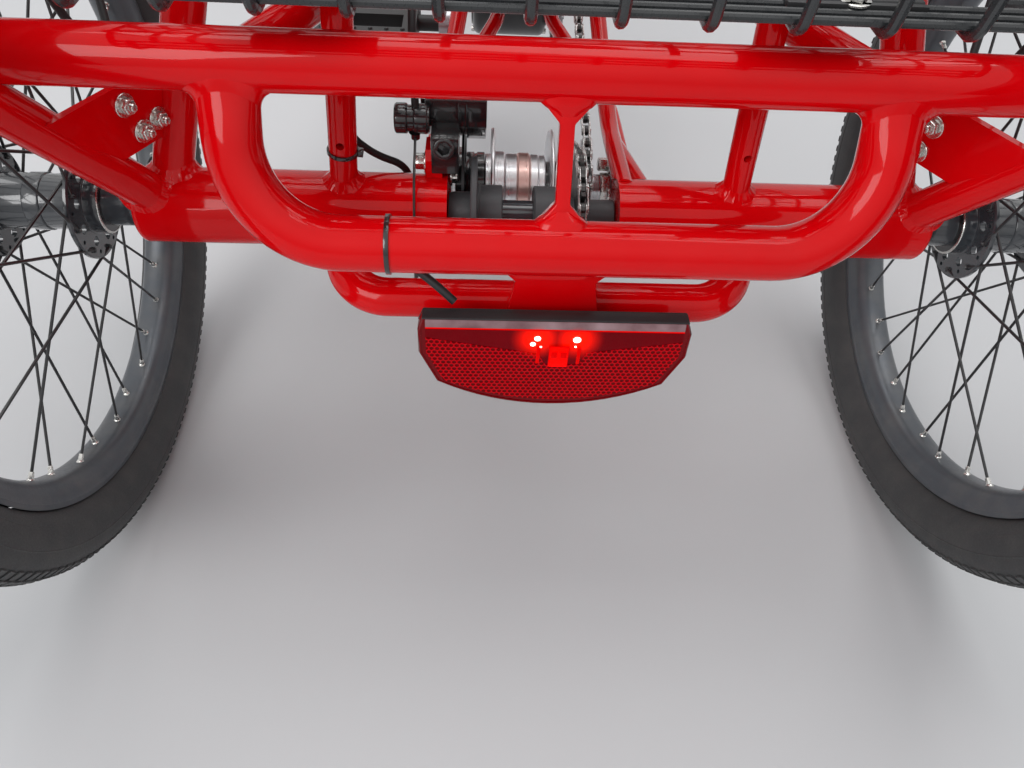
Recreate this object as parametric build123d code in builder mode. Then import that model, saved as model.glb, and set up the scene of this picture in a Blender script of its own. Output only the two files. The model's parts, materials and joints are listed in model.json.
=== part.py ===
from build123d import *
from math import atan2, cos, pi, radians, sin, sqrt, tan
import os

os.makedirs("parts", exist_ok=True)

# Frame: X to the rider's right, Y forward, Z up. The origin is on the ground
# below the middle of the wheelbase.

# Stance
WHEEL_RADIUS = 254.0
TYRE_WIDTH = 56.0
TRACK = 672.0
WHEELBASE = 1180.0
AXLE_Z = WHEEL_RADIUS
REAR_Y = -WHEELBASE / 2
FRONT_Y = WHEELBASE / 2

# Clearances: cope leaves a weld seam between tubes, seat is a face that rests on
# another, run is left beside what turns
COPE = 0.2
SEAT = 0.3
RUN = 0.6

# Frame tubes (outer radii)
HOUSING_R = 25.4
UPPER_R = 15.9
LOOP_R = 15.9
LOWER_R = 12.7
STRUT_R = 13.0
OUTER_UPRIGHT_R = 13.0
INNER_UPRIGHT_R = 9.1
STAY_R = 11.0
SEAT_TUBE_R = 20.5
SEAT_POST_R = 16.8
MAIN_TUBE_R = 28.5
HEAD_TUBE_R = 24.0
RACK_R = 9.5

# Rear axle line, measured from the rear axle centre
HOUSING_END = 270.0
LEFT_HOUSING_INNER = -63.5
RIGHT_HOUSING_INNER = 52.0
UPPER_Y = -58.0
UPPER_Z = 132.7
UPPER_HALF = 312.0
BUMPER_X = 4.0
BUMPER_HALF = 178.0
BUMPER_Y = -95.6
BUMPER_Z = 46.1
BUMPER_BEND = 55.0
BRACE_WIDTH = 8.0
BRACE_FOOT = 26.0
BRACE_FLARE = 10.0
BRACE_DEPTH = 12.0
BRACE_SINK = 8.0
LAMP_PLATE_TOP = 64.0
LAMP_PLATE_WAIST = 48.0
LAMP_PLATE_FOOT = 57.0
LAMP_PLATE_THICK = 5.0
LOWER_HALF = 130.0
LOWER_Y = -69.0
LOWER_Z = -18.0
LOWER_BEND = 30.0
STRUT_FOOT_X = 251.0
STRUT_TOP_X = 298.0
STRUT_TOP_Y = -74.5
STRUT_TOP_Z = 119.0
GUSSET_X = 246.0
GUSSET_TURN = 26.0
GUSSET_THICK = 5.0
OUTER_FOOT_X = 252.0
OUTER_TOP_X = 210.0
INNER_FOOT_X = 134.0
INNER_TOP_X = 121.0
RACK_Z = 160.0
RACK_REAR_Y = -26.0
RACK_MID_Y = 45.0
RACK_FRONT_Y = 170.0
UPRIGHT_HOLE_Z = 55.0
UPRIGHT_HOLE_R = 2.6

# Gear hub between the two chains
HUB_Y = 83.0
HUB_Z = -33.0
HUB_FLANGE_R = 43.0
HUB_FLANGE_LEFT = -32.0
HUB_FLANGE_RIGHT = 13.0
HUB_SPROCKET_R = 35.0
ROTOR_X = -54.0
ROTOR_R = 70.0
ROTOR_THICK = 1.8
AXLE_CHAIN_X = 25.0
DRIVE_CHAIN_X = 40.0
AXLE_SPROCKET_R = 40.6
DROPOUT_X = 66.0
DROPOUT_THICK = 8.0
SPROCKET_THICK = 3.0

# Cranks and motor
CRANK_Y = 440.0
CRANK_Z = 8.0
CHAINRING_R = 85.0
CRANK_LENGTH = 165.0
CRANK_X = 74.0
PEDAL_WIDTH = 92.0
PEDAL_LENGTH = 90.0
PEDAL_THICK = 22.0
PEDAL_INNER_X = 100.0

# Seat tube, post and saddle
SEAT_ANGLE = 71.1
SEAT_TUBE_LENGTH = 340.0
SADDLE_TOP = 576.0
SADDLE_LENGTH = 262.0
SADDLE_WIDTH = 216.0
SADDLE_THICK = 66.0

# Battery
BATTERY_WIDTH = 71.0
BATTERY_DEPTH = 96.0
BATTERY_START = 44.0
BATTERY_END = 328.0

# Basket
BASKET_HALF = 240.0
BASKET_FLARE = 20.0
BASKET_REAR_Y = -97.0
BASKET_FRONT_Y = 182.0
BASKET_WIRE_R = 3.0
BASKET_ROD_R = 2.2
BASKET_FLOOR = RACK_Z + RACK_R + BASKET_WIRE_R + SEAT
BASKET_TOP = 372.0
BASKET_PITCH = 41.0
BASKET_HOOK = 22.0

# Fold, head and steering
HINGE_Y = 680.0
HINGE_Z = 62.0
HINGE_PIN_R = 6.0
HEAD_ANGLE = 70.0
FORK_OFFSET = 45.0
HEAD_LOW = 300.0
HEAD_HIGH = 425.0
POST_HINGE = 452.0
BAR_AT = 842.0
BAR_HALF = 300.0
FORK_HALF = 58.0
STEERER_R = 14.0
CROWN_R = 21.0
FORK_BLADE_R = 11.5

# Wheels
RIM_OUTER_R = 207.0
RIM_INNER_R = 188.0
RIM_HALF = 17.0
FLANGE_R = 38.0
SPOKE_CIRCLE_R = 33.0
SPOKE_LEAD = 60.0
HUB_R = 18.5
SPOKE_R = 1.15
SPOKES = 36
REAR_FLANGE = 32.0
FRONT_FLANGE = 27.0
AXLE_SLEEVE_R = 15.0


def rear(x, y, z):
    """A point measured from the rear axle centre."""
    return Vector(x, REAR_Y + y, AXLE_Z + z)


def tube(start, end, radius, mode=Mode.ADD):
    """A straight round bar or tube."""
    run = end - start
    with BuildSketch(Plane(origin=start, z_dir=run)) as section:
        Circle(radius)
    extrude(section.sketch, amount=run.length, mode=mode)


def wire(start, end, radius, mode=Mode.ADD):
    """A thin straight wire with four flats."""
    run = end - start
    with BuildSketch(Plane(origin=start, z_dir=run)) as section:
        RegularPolygon(radius, 4)
    extrude(section.sketch, amount=run.length, mode=mode)


def bent_tube(points, bends, radius, mode=Mode.ADD):
    """A round tube along straight runs joined by tangent arcs."""
    with BuildLine() as path:
        FilletPolyline(*points, radius=bends)
    with BuildSketch(Plane(origin=path.line @ 0, z_dir=path.line % 0)) as section:
        Circle(radius)
    sweep(section.sketch, path=path.line, mode=mode)


def disc(x_low, x_high, radius, y=0.0, z=0.0, mode=Mode.ADD):
    """A round disc across X, placed from the rear axle centre."""
    tube(rear(x_low, y, z), rear(x_high, y, z), radius, mode)


def save(builder, name):
    builder.part.label = name
    export_step(builder.part, f"parts/{name}.step")


# Axle housings: two tubes on the rear axle line
with BuildPart() as axle_housings:
    for inner, outer in ((LEFT_HOUSING_INNER, -HOUSING_END), (RIGHT_HOUSING_INNER, HOUSING_END)):
        disc(inner, outer, HOUSING_R)
        fillet(axle_housings.edges().filter_by(GeomType.CIRCLE).sort_by(
            lambda e: abs(e.center().X - outer))[0], 4)
save(axle_housings, "axle_housings")

# Upper rear tube across the back
UPPER_LEFT = rear(-UPPER_HALF, UPPER_Y, UPPER_Z)
UPPER_RIGHT = rear(UPPER_HALF, UPPER_Y, UPPER_Z)
with BuildPart() as upper_rear_tube:
    tube(UPPER_LEFT, UPPER_RIGHT, UPPER_R)
    fillet(upper_rear_tube.edges().filter_by(GeomType.CIRCLE), 4)
save(upper_rear_tube, "upper_rear_tube")


def clear_of_housings():
    """Cope what meets the axle housings."""
    disc(-HOUSING_END - 40, HOUSING_END + 40, HOUSING_R + COPE, mode=Mode.SUBTRACT)


def clear_of_upper_tube():
    """Cope what meets the upper rear tube."""
    reach = Vector(40, 0, 0)
    tube(UPPER_LEFT - reach, UPPER_RIGHT + reach, UPPER_R + COPE, Mode.SUBTRACT)


# Bumper loop with its middle brace and the lamp's plate
loop_left = BUMPER_X - BUMPER_HALF
loop_right = BUMPER_X + BUMPER_HALF
with BuildPart() as bumper_loop:
    bent_tube(
        [
            rear(loop_left, UPPER_Y, UPPER_Z),
            rear(loop_left, BUMPER_Y, BUMPER_Z),
            rear(loop_right, BUMPER_Y, BUMPER_Z),
            rear(loop_right, UPPER_Y, UPPER_Z),
        ],
        [BUMPER_BEND, BUMPER_BEND],
        LOOP_R,
    )
    # The brace is a flat bar with flared ends in the loop's leaning plane
    lean = rear(BUMPER_X, UPPER_Y, UPPER_Z) - rear(BUMPER_X, BUMPER_Y, BUMPER_Z)
    brace_plane = Plane(
        origin=rear(BUMPER_X, (UPPER_Y + BUMPER_Y) / 2, (UPPER_Z + BUMPER_Z) / 2),
        x_dir=(1, 0, 0),
        z_dir=Vector(1, 0, 0).cross(lean),
    )
    brace_low = -lean.length / 2 + LOOP_R
    brace_high = lean.length / 2 - UPPER_R
    flank = [
        (BRACE_FOOT / 2, brace_low - BRACE_SINK),
        (BRACE_FOOT / 2, brace_low),
        (BRACE_WIDTH / 2, brace_low + BRACE_FLARE),
        (BRACE_WIDTH / 2, brace_high - BRACE_FLARE),
        (BRACE_FOOT / 2, brace_high),
        (BRACE_FOOT / 2, brace_high + BRACE_SINK),
    ]
    with BuildSketch(brace_plane):
        with BuildLine():
            Polyline(*flank, *[(-x, y) for x, y in reversed(flank)], close=True)
        make_face()
    extrude(amount=BRACE_DEPTH / 2, both=True)
    # The plate hangs from the bar's underside, cut in just below it
    plate_cut = (LAMP_PLATE_TOP - LAMP_PLATE_WAIST) / 2
    flank = [
        (LAMP_PLATE_TOP / 2, 0),
        (LAMP_PLATE_TOP / 2, -LOOP_R),
        (LAMP_PLATE_WAIST / 2, -LOOP_R - plate_cut),
        (LAMP_PLATE_FOOT / 2, -BUMPER_Z - 6),
    ]
    with BuildSketch(Plane(origin=rear(BUMPER_X, BUMPER_Y, BUMPER_Z), x_dir=(1, 0, 0),
                           z_dir=(0, -1, 0))):
        with BuildLine():
            Polyline(*flank, *[(-x, y) for x, y in reversed(flank)], close=True)
        make_face()
    extrude(amount=LAMP_PLATE_THICK / 2, both=True)
    clear_of_upper_tube()
save(bumper_loop, "bumper_loop")

# Lower loop behind and below the axle
lower_path = [
    rear(-LOWER_HALF, 0, 0),
    rear(-LOWER_HALF, LOWER_Y, LOWER_Z),
    rear(LOWER_HALF, LOWER_Y, LOWER_Z),
    rear(LOWER_HALF, 0, 0),
]
with BuildPart() as lower_loop:
    bent_tube(lower_path, [LOWER_BEND, LOWER_BEND], LOWER_R)
    clear_of_housings()
save(lower_loop, "lower_loop")

# Rear struts with their gusset plates, one pair on each side
GUSSET_OUTLINE = [(-70, 95), (-22.8, 94), (22, 92), (14, 50), (-1.5, 51.6), (-28.4, 52.5),
                  (-38, 53)]


def gusset_plane(side, out=0.0):
    """The plane of a gusset plate, which faces inboard and to the rear."""
    turn = radians(GUSSET_TURN)
    plane = Plane(origin=rear(side * GUSSET_X, 0, 0), x_dir=(-side * sin(turn), cos(turn), 0),
                  z_dir=(cos(turn), side * sin(turn), 0))
    return plane.offset(side * out)


with BuildPart() as rear_struts:
    for side in (-1, 1):
        tube(rear(side * STRUT_FOOT_X, 0, 0), rear(side * STRUT_TOP_X, STRUT_TOP_Y, STRUT_TOP_Z),
             STRUT_R)
        with BuildSketch(gusset_plane(side)):
            with BuildLine():
                Polyline(*GUSSET_OUTLINE, close=True)
            make_face()
        extrude(amount=GUSSET_THICK / 2, both=True)
    clear_of_housings()
    clear_of_upper_tube()
    for side in (-1, 1):
        tube(rear(side * OUTER_FOOT_X, 0, 0), rear(side * OUTER_TOP_X, RACK_MID_Y, RACK_Z),
             OUTER_UPRIGHT_R + COPE, Mode.SUBTRACT)
save(rear_struts, "rear_struts")

# Uprights that carry the basket rack: an outer and an inner one on each side
UPRIGHTS = [
    # foot x, top x, top y, radius
    (OUTER_FOOT_X, OUTER_TOP_X, RACK_MID_Y, OUTER_UPRIGHT_R),
    (INNER_FOOT_X, INNER_TOP_X, RACK_REAR_Y / 4, INNER_UPRIGHT_R),
]
RACK_BARS = [
    # start x, start y, end x, end y
    (-INNER_TOP_X, RACK_REAR_Y, -INNER_TOP_X, RACK_FRONT_Y),
    (INNER_TOP_X, RACK_REAR_Y, INNER_TOP_X, RACK_FRONT_Y),
    (-OUTER_TOP_X - 12, RACK_MID_Y, OUTER_TOP_X + 12, RACK_MID_Y),
    (-INNER_TOP_X - 12, RACK_FRONT_Y, INNER_TOP_X + 12, RACK_FRONT_Y),
]


def rack_bars(radius, mode=Mode.ADD):
    """The rack's rails and crossbars."""
    for x0, y0, x1, y1 in RACK_BARS:
        tube(rear(x0, y0, RACK_Z), rear(x1, y1, RACK_Z), radius, mode)


with BuildPart() as basket_rack:
    rack_bars(RACK_R)
save(basket_rack, "basket_rack")

with BuildPart() as rear_uprights:
    for foot_x, top_x, top_y, radius in UPRIGHTS:
        for side in (-1, 1):
            tube(rear(side * foot_x, 0, 0), rear(side * top_x, top_y, RACK_Z), radius)
    for side in (-1, 1):
        tube(rear(side * (INNER_FOOT_X - 4), -40, UPRIGHT_HOLE_Z),
             rear(side * (INNER_FOOT_X - 4), 0, UPRIGHT_HOLE_Z), UPRIGHT_HOLE_R, Mode.SUBTRACT)
    clear_of_housings()
    rack_bars(RACK_R + COPE, Mode.SUBTRACT)
save(rear_uprights, "rear_uprights")

# Seat tube and the motor shell at its foot
lean_back = Vector(0, -cos(radians(SEAT_ANGLE)), sin(radians(SEAT_ANGLE)))
crank_centre = rear(0, CRANK_Y, CRANK_Z)
seat_top = crank_centre + lean_back * SEAT_TUBE_LENGTH


def motor_barrel(radius, half, mode=Mode.ADD):
    """A round barrel on the crank axis."""
    tube(crank_centre - Vector(half, 0, 0), crank_centre + Vector(half, 0, 0), radius, mode)


CRANK_SHELL_R = 24.0
MOTOR_HALF = 33.0
STAY_CROSS_AT = 112.0
STAY_CROSS_HALF = 58.0
SEAT_BORE_END = 78.0
stay_cross = crank_centre + lean_back * STAY_CROSS_AT
with BuildPart() as seat_tube:
    tube(crank_centre, seat_top, SEAT_TUBE_R)
    tube(stay_cross - Vector(STAY_CROSS_HALF, 0, 0), stay_cross + Vector(STAY_CROSS_HALF, 0, 0),
         STAY_R)
    tube(seat_top - lean_back * 26, seat_top, SEAT_TUBE_R + 4)
    motor_barrel(CRANK_SHELL_R, MOTOR_HALF)
    tube(crank_centre + lean_back * SEAT_BORE_END, seat_top + lean_back, SEAT_POST_R + SEAT,
         Mode.SUBTRACT)
    motor_barrel(12, MOTOR_HALF + 1, Mode.SUBTRACT)
save(seat_tube, "seat_tube")


def clear_of_seat_tube():
    """Cope what meets the seat tube and the crank shell."""
    reach = Vector(STAY_CROSS_HALF + 20, 0, 0)
    tube(crank_centre, seat_top, SEAT_TUBE_R + COPE, Mode.SUBTRACT)
    tube(stay_cross - reach, stay_cross + reach, STAY_R + COPE, Mode.SUBTRACT)
    motor_barrel(CRANK_SHELL_R + COPE, MOTOR_HALF + 20, Mode.SUBTRACT)


# Rear part of the main tube with its hinge plate
hinge_centre = rear(0, HINGE_Y, HINGE_Z)
main_start = rear(0, CRANK_Y, CRANK_Z + 12)
HINGE_PLATE = 9.0
HINGE_HALF_WIDTH = 34.0
HINGE_HALF_HEIGHT = 44.0
HINGE_KNUCKLE_R = 11.0
HINGE_X = -HINGE_HALF_WIDTH - HINGE_KNUCKLE_R - 0.7
hinge_axis = rear(HINGE_X, HINGE_Y, HINGE_Z)


def hinge_plate(y_low, y_high):
    """The oval plate that closes a half of the folding joint."""
    plane = Plane(origin=rear(0, y_low, HINGE_Z), x_dir=(1, 0, 0), z_dir=(0, 1, 0))
    with BuildSketch(plane) as oval:
        RectangleRounded(2 * HINGE_HALF_WIDTH, 2 * HINGE_HALF_HEIGHT, 24)
    extrude(oval.sketch, amount=y_high - y_low)


def knuckle(z_low, z_high, arm_y):
    """One knuckle round the fold pin, with its arm to a hinge plate."""
    tube(hinge_axis + Vector(0, 0, z_low), hinge_axis + Vector(0, 0, z_high), HINGE_KNUCKLE_R)
    arm = -HINGE_X - HINGE_HALF_WIDTH + 14
    with Locations(hinge_axis + Vector(arm / 2, arm_y / 2, (z_low + z_high) / 2)):
        Box(arm, abs(arm_y), z_high - z_low)


with BuildPart() as main_tube_rear:
    tube(main_start, hinge_centre - Vector(0, HINGE_PLATE, 0), MAIN_TUBE_R)
    hinge_plate(HINGE_Y - HINGE_PLATE - 0.5, HINGE_Y - 0.5)
    for low, high in ((-42, -15), (15, 42)):
        knuckle(low, high, -HINGE_PLATE - 0.5)
    with Locations(hinge_axis):
        Cylinder(HINGE_PIN_R, 84)
    clear_of_seat_tube()
save(main_tube_rear, "main_tube_rear")

# Mid motor: a round body under and ahead of the crank shell
MOTOR_DROP = 22.0
MOTOR_AHEAD = 60.0
with BuildPart() as mid_motor:
    motor_centre = rear(-8, CRANK_Y + MOTOR_AHEAD, CRANK_Z - MOTOR_DROP - 26)
    tube(motor_centre - Vector(44, 0, 0), motor_centre + Vector(40, 0, 0), 56)
    fillet(mid_motor.edges().filter_by(GeomType.CIRCLE), 8)
    tube(motor_centre - Vector(30, 0, 0), motor_centre + Vector(30, 0, 0), 56)
    tube(main_start, hinge_centre, MAIN_TUBE_R + COPE, Mode.SUBTRACT)
    motor_barrel(CRANK_SHELL_R + COPE, MOTOR_HALF + 40, Mode.SUBTRACT)
save(mid_motor, "mid_motor")

# Battery on a rail behind the seat tube
battery_plane = Plane(origin=crank_centre + lean_back * BATTERY_START, x_dir=(1, 0, 0),
                      z_dir=lean_back)
with BuildPart() as battery:
    middle = SEAT_TUBE_R + 8 + BATTERY_DEPTH / 2
    with BuildSketch(battery_plane):
        with Locations((0, -middle)):
            RectangleRounded(BATTERY_WIDTH, BATTERY_DEPTH, 18)
    extrude(amount=BATTERY_END - BATTERY_START)
    fillet(battery.edges().group_by(Axis.Z)[-1], 6)
    with BuildSketch(battery_plane.offset(20)):
        with Locations((0, -SEAT_TUBE_R - 6)):
            Rectangle(26, 12)
    extrude(amount=BATTERY_END - BATTERY_START - 50)
    clear_of_seat_tube()
save(battery, "battery")

# Forged dropouts from the housings' inner ends to the gear hub
HUB_AXLE_R = 6.0
HUB_END = [(HUB_Y + 16, HUB_Z + 22), (HUB_Y + 22, HUB_Z - 4), (HUB_Y + 4, HUB_Z - 20),
           (HUB_Y - 24, HUB_Z - 18)]
DROPOUTS = [
    # side, upper edge from the housing, then the end round the hub axle
    (-1, [(6, 17), (40, 24)] + HUB_END),
    (1, [(12, 6), (60, -2)] + HUB_END),
]
BRAKE_TAB_THICK = 8.0
with BuildPart() as hub_dropouts:
    for side, outline in DROPOUTS:
        with BuildSketch(Plane(origin=rear(side * DROPOUT_X, 0, 0), x_dir=(0, 1, 0),
                               z_dir=(1, 0, 0))):
            with BuildLine():
                Polyline(*outline, (8, -20), close=True)
            make_face()
            fillet(vertices(), 5)
        extrude(amount=DROPOUT_THICK / 2, both=True)
        inner = side * (DROPOUT_X - DROPOUT_THICK / 2)
        disc(inner, inner + side * 20, HUB_AXLE_R + 0.3, HUB_Y, HUB_Z, Mode.SUBTRACT)
    # The left one has a tab beside it for the brake caliper
    tab_x = -DROPOUT_X - DROPOUT_THICK / 2 - BRAKE_TAB_THICK
    with BuildSketch(Plane(origin=rear(tab_x, 0, 0), x_dir=(0, 1, 0), z_dir=(1, 0, 0))) as tab:
        with BuildLine():
            Polyline((2, 10), (2, 38), (6, 44), (22, 44), (28, 22), (20, 10), close=True)
        make_face()
    extrude(tab.sketch, amount=BRAKE_TAB_THICK + 3)
    clear_of_housings()
save(hub_dropouts, "hub_dropouts")

# Rear stays: V stays from the upper tube, seat stays and chain stays
STAY_X = STAY_CROSS_HALF - 8
STAY_REAR_X = DROPOUT_X + 12
STAYS = [
    # sides, points from the rear axle centre, end, end x, bend radius, tube radius
    ((-1, 1), [(166, UPPER_Y + 8, UPPER_Z), (STAY_X, 285, 116)], stay_cross, STAY_X, 120, STAY_R),
    ((-1,), [(STAY_REAR_X, HUB_Y + 14, HUB_Z + 18), (STAY_X + 5, 275, 60)], stay_cross,
     STAY_X + 5, 120, 7.0),
    ((1,), [(57, 4, 20), (60, 120, 2), (STAY_X + 5, 275, 60)], stay_cross, STAY_X + 5, 120, 7.0),
    ((-1, 1), [(STAY_REAR_X, HUB_Y + 8, HUB_Z - 2), (STAY_REAR_X - 6, 190, -24), (26, 330, -8)],
     crank_centre, 24, 80, 7.0),
]
BOSSES = [
    # side, y, z of the stays' seats on the dropouts
    (-1, HUB_Y + 12, HUB_Z + 12),
    (-1, HUB_Y + 8, HUB_Z - 2),
    (1, HUB_Y + 8, HUB_Z - 2),
]
with BuildPart() as rear_stays:
    for sides, points, end, end_x, bend, radius in STAYS:
        for side in sides:
            path = [rear(side * x, y, z) for x, y, z in points]
            path.append(end + Vector(side * end_x, 0, 0))
            bent_tube(path, [bend] * (len(path) - 2), radius)
    for side, y, z in BOSSES:
        disc(side * (DROPOUT_X + DROPOUT_THICK / 2 + COPE), side * STAY_REAR_X, 9, y, z)
    # The right seat stay forks to a second foot on the housing
    tube(rear(71, 8, 17), rear(60, 84, 7), 6.0)
    clear_of_housings()
    clear_of_upper_tube()
    clear_of_seat_tube()
save(rear_stays, "rear_stays")

# Gear hub: shell and flanges, brake rotor and the two sprockets
HUB_STEPS = [
    # x from, x to, radius
    (ROTOR_X + ROTOR_THICK / 2 + 0.1, -38.0, 18.0),
    (-38.0, HUB_FLANGE_LEFT, 22.0),
    (HUB_FLANGE_LEFT, -22.4, 25.5),
    (-22.4, -12.5, 24.0),
    (-12.5, -3.2, 25.0),
    (-3.2, 8.8, 24.0),
    (8.8, AXLE_CHAIN_X - SPROCKET_THICK / 2 - 0.1, 19.0),
]
with BuildPart() as gear_hub_shell:
    for x_from, x_to, radius in HUB_STEPS:
        disc(x_from, x_to, radius, HUB_Y, HUB_Z)
    for x in (HUB_FLANGE_LEFT, HUB_FLANGE_RIGHT):
        disc(x - 1.5, x + 1.5, HUB_FLANGE_R, HUB_Y, HUB_Z)
save(gear_hub_shell, "gear_hub_shell")

with BuildPart() as brake_rotor:
    disc(ROTOR_X - ROTOR_THICK / 2, ROTOR_X + ROTOR_THICK / 2, ROTOR_R, HUB_Y, HUB_Z)
    with BuildSketch(Plane(origin=rear(ROTOR_X, HUB_Y, HUB_Z), x_dir=(0, 1, 0), z_dir=(1, 0, 0))):
        with PolarLocations(46, 6):
            SlotCenterToCenter(16, 22, rotation=90)
    extrude(amount=ROTOR_THICK, both=True, mode=Mode.SUBTRACT)
save(brake_rotor, "brake_rotor")


def sprocket_outline(radius, teeth):
    """A toothed outline with straight-sided teeth on its pitch circle."""
    points = []
    for tooth in range(teeth):
        for share, reach in ((-0.34, -3.4), (-0.1, 2.6), (0.1, 2.6), (0.34, -3.4)):
            angle = 2 * pi * (tooth + share) / teeth
            points.append(((radius + reach) * cos(angle), (radius + reach) * sin(angle)))
    with BuildLine() as outline:
        Polyline(*points, close=True)
    return outline.edges()


def sprocket(x, y, z, radius, teeth):
    """A flat toothed disc across X."""
    plane = Plane(origin=rear(x, y, z), x_dir=(0, 1, 0), z_dir=(1, 0, 0))
    with BuildSketch(plane) as toothed:
        make_face(sprocket_outline(radius, teeth))
    extrude(toothed.sketch, amount=SPROCKET_THICK / 2, both=True)


with BuildPart() as hub_sprockets:
    sprocket(AXLE_CHAIN_X, HUB_Y, HUB_Z, HUB_SPROCKET_R, 17)
    sprocket(DRIVE_CHAIN_X, HUB_Y, HUB_Z, HUB_SPROCKET_R, 17)
    disc(AXLE_CHAIN_X, DRIVE_CHAIN_X + 4, 20, HUB_Y, HUB_Z)
    disc(DRIVE_CHAIN_X + 4, DROPOUT_X - DROPOUT_THICK / 2 - RUN, 10, HUB_Y, HUB_Z)
save(hub_sprockets, "hub_sprockets")

# Drive axle between the housings: flange, sleeves, shaft and sprocket
with BuildPart() as drive_axle:
    for x0, x1, radius in (
        (LEFT_HOUSING_INNER + RUN, -48.0, 14.0),
        (-48.0, -43.0, 37.0),
        (-43.0, -26.0, 19.0),
        (-26.0, -5.0, 9.0),
        (-5.0, 12.6, 19.0),
        (12.6, AXLE_CHAIN_X, 12.0),
        (AXLE_CHAIN_X, RIGHT_HOUSING_INNER - RUN, 11.0),
    ):
        disc(x0, x1, radius)
    sprocket(AXLE_CHAIN_X, 0, 0, AXLE_SPROCKET_R, 20)
save(drive_axle, "drive_axle")

# Chains: each is a closed loop of two link-shaped side rows, joined by pins on
# the straight runs
CHAIN_HALF = 3.4
LINK_THICK = 1.1
LINK_HIGH = 4.2
LINK_LOW = 2.6
CHAIN_PITCH = 12.7


def chain(x, first, second):
    """A chain round two pitch circles, each given as y, z, radius."""
    (y0, z0, r0), (y1, z1, r1) = first, second
    span = sqrt((y1 - y0) ** 2 + (z1 - z0) ** 2)
    heading = atan2(z1 - z0, y1 - y0)
    swing = (r0 - r1) / span
    tilt = pi / 2 - atan2(swing, sqrt(1 - swing**2))

    def outline(step):
        return (
            [(y0 + (r0 + step) * cos(heading + a), z0 + (r0 + step) * sin(heading + a))
             for a in (tilt, pi, -tilt)],
            [(y1 + (r1 + step) * cos(heading + a), z1 + (r1 + step) * sin(heading + a))
             for a in (-tilt, 0, tilt)],
        )

    for row in (-1, 1):
        plane = Plane(origin=rear(x + row * (CHAIN_HALF - LINK_THICK / 2), 0, 0),
                      x_dir=(0, 1, 0), z_dir=(1, 0, 0))
        with BuildSketch(plane) as side_plate:
            for step, how in ((LINK_HIGH, Mode.ADD), (-LINK_HIGH, Mode.SUBTRACT)):
                back, front = outline(step)
                with BuildLine():
                    ThreePointArc(*back)
                    Line(back[2], front[0])
                    ThreePointArc(*front)
                    Line(front[2], back[0])
                make_face(mode=how)
        extrude(side_plate.sketch, amount=LINK_THICK / 2, both=True)
    back, front = outline(0)
    for start, end in ((back[2], front[0]), (front[2], back[0])):
        run_y = end[0] - start[0]
        run_z = end[1] - start[1]
        length = sqrt(run_y**2 + run_z**2)
        margins = (sqrt(13 * r0), sqrt(13 * r1))
        if start == front[2]:
            margins = margins[::-1]
        room = length - sum(margins)
        links = int(room / CHAIN_PITCH)
        first_link = margins[0] + (room - links * CHAIN_PITCH) / 2
        for link in range(links + 1):
            share = (first_link + link * CHAIN_PITCH) / length
            point = (start[0] + run_y * share, start[1] + run_z * share)
            wire(rear(x - CHAIN_HALF + LINK_THICK, *point),
                 rear(x + CHAIN_HALF - LINK_THICK, *point), 3.6)


with BuildPart() as axle_chain:
    chain(AXLE_CHAIN_X, (0, 0, AXLE_SPROCKET_R), (HUB_Y, HUB_Z, HUB_SPROCKET_R))
save(axle_chain, "axle_chain")

with BuildPart() as drive_chain:
    chain(DRIVE_CHAIN_X, (HUB_Y, HUB_Z, HUB_SPROCKET_R), (CRANK_Y, CRANK_Z, CHAINRING_R))
save(drive_chain, "drive_chain")

# Rear brake caliper astride the rotor
CALIPER_GAP = 2.2
CALIPER_SIDE = [(20, 48), (34, 34), (58, 18), (72, 30), (66, 62), (48, 78), (20, 72)]
with BuildPart() as rear_caliper:
    with BuildSketch(Plane(origin=rear(-78, 0, 0), x_dir=(0, 1, 0), z_dir=(1, 0, 0))):
        with BuildLine():
            Polyline(*CALIPER_SIDE, close=True)
        make_face()
        fillet(vertices(), 4)
    extrude(amount=40)
    with Locations(rear(ROTOR_X - 11, 14, 43)):
        Box(18, 28, 26)
    fillet(rear_caliper.edges().filter_by(Axis.Y).group_by(Axis.Y)[0], 5)
    # Barrel that stops the cable's sleeve
    disc(-97, -75, 8.5, 16, 60.5)
    disc(ROTOR_X - CALIPER_GAP, ROTOR_X + CALIPER_GAP, ROTOR_R + 4, HUB_Y, HUB_Z, Mode.SUBTRACT)
    clear_of_housings()
    add(hub_dropouts.part, mode=Mode.SUBTRACT)
save(rear_caliper, "rear_caliper")

# Tail light: a back shell and the lens in front of it
LAMP_X = 5.0
LAMP_HALF = 83.0
LAMP_TOP = 8.0
LAMP_BOTTOM = -66.0
LAMP_SHOULDER = -19.0
LAMP_CORNER = -44.0
LAMP_CUT = 10.0
LAMP_BACK = BUMPER_Y - LAMP_PLATE_THICK / 2 - SEAT
LAMP_SPLIT = LAMP_BACK - 8
LAMP_FACE = LAMP_SPLIT - 12


def lamp_outline(inset=0.0):
    """The lamp's face: flat top, cut corners and a wide arc below."""
    half = LAMP_HALF - inset
    low = LAMP_BOTTOM + inset
    with BuildLine() as outline:
        Polyline((-half, LAMP_TOP - inset - 8), (-half + 3, LAMP_TOP - inset),
                 (half - 3, LAMP_TOP - inset), (half, LAMP_TOP - inset - 8),
                 (half, LAMP_SHOULDER), (half - LAMP_CUT, LAMP_CORNER))
        ThreePointArc((half - LAMP_CUT, LAMP_CORNER), (0, low), (-half + LAMP_CUT, LAMP_CORNER))
        Polyline((-half + LAMP_CUT, LAMP_CORNER), (-half, LAMP_SHOULDER),
                 (-half, LAMP_TOP - inset - 8))
    make_face(outline.edges())


def lamp_plane(y):
    return Plane(origin=rear(LAMP_X, y, 0), x_dir=(1, 0, 0), z_dir=(0, -1, 0))


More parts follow.
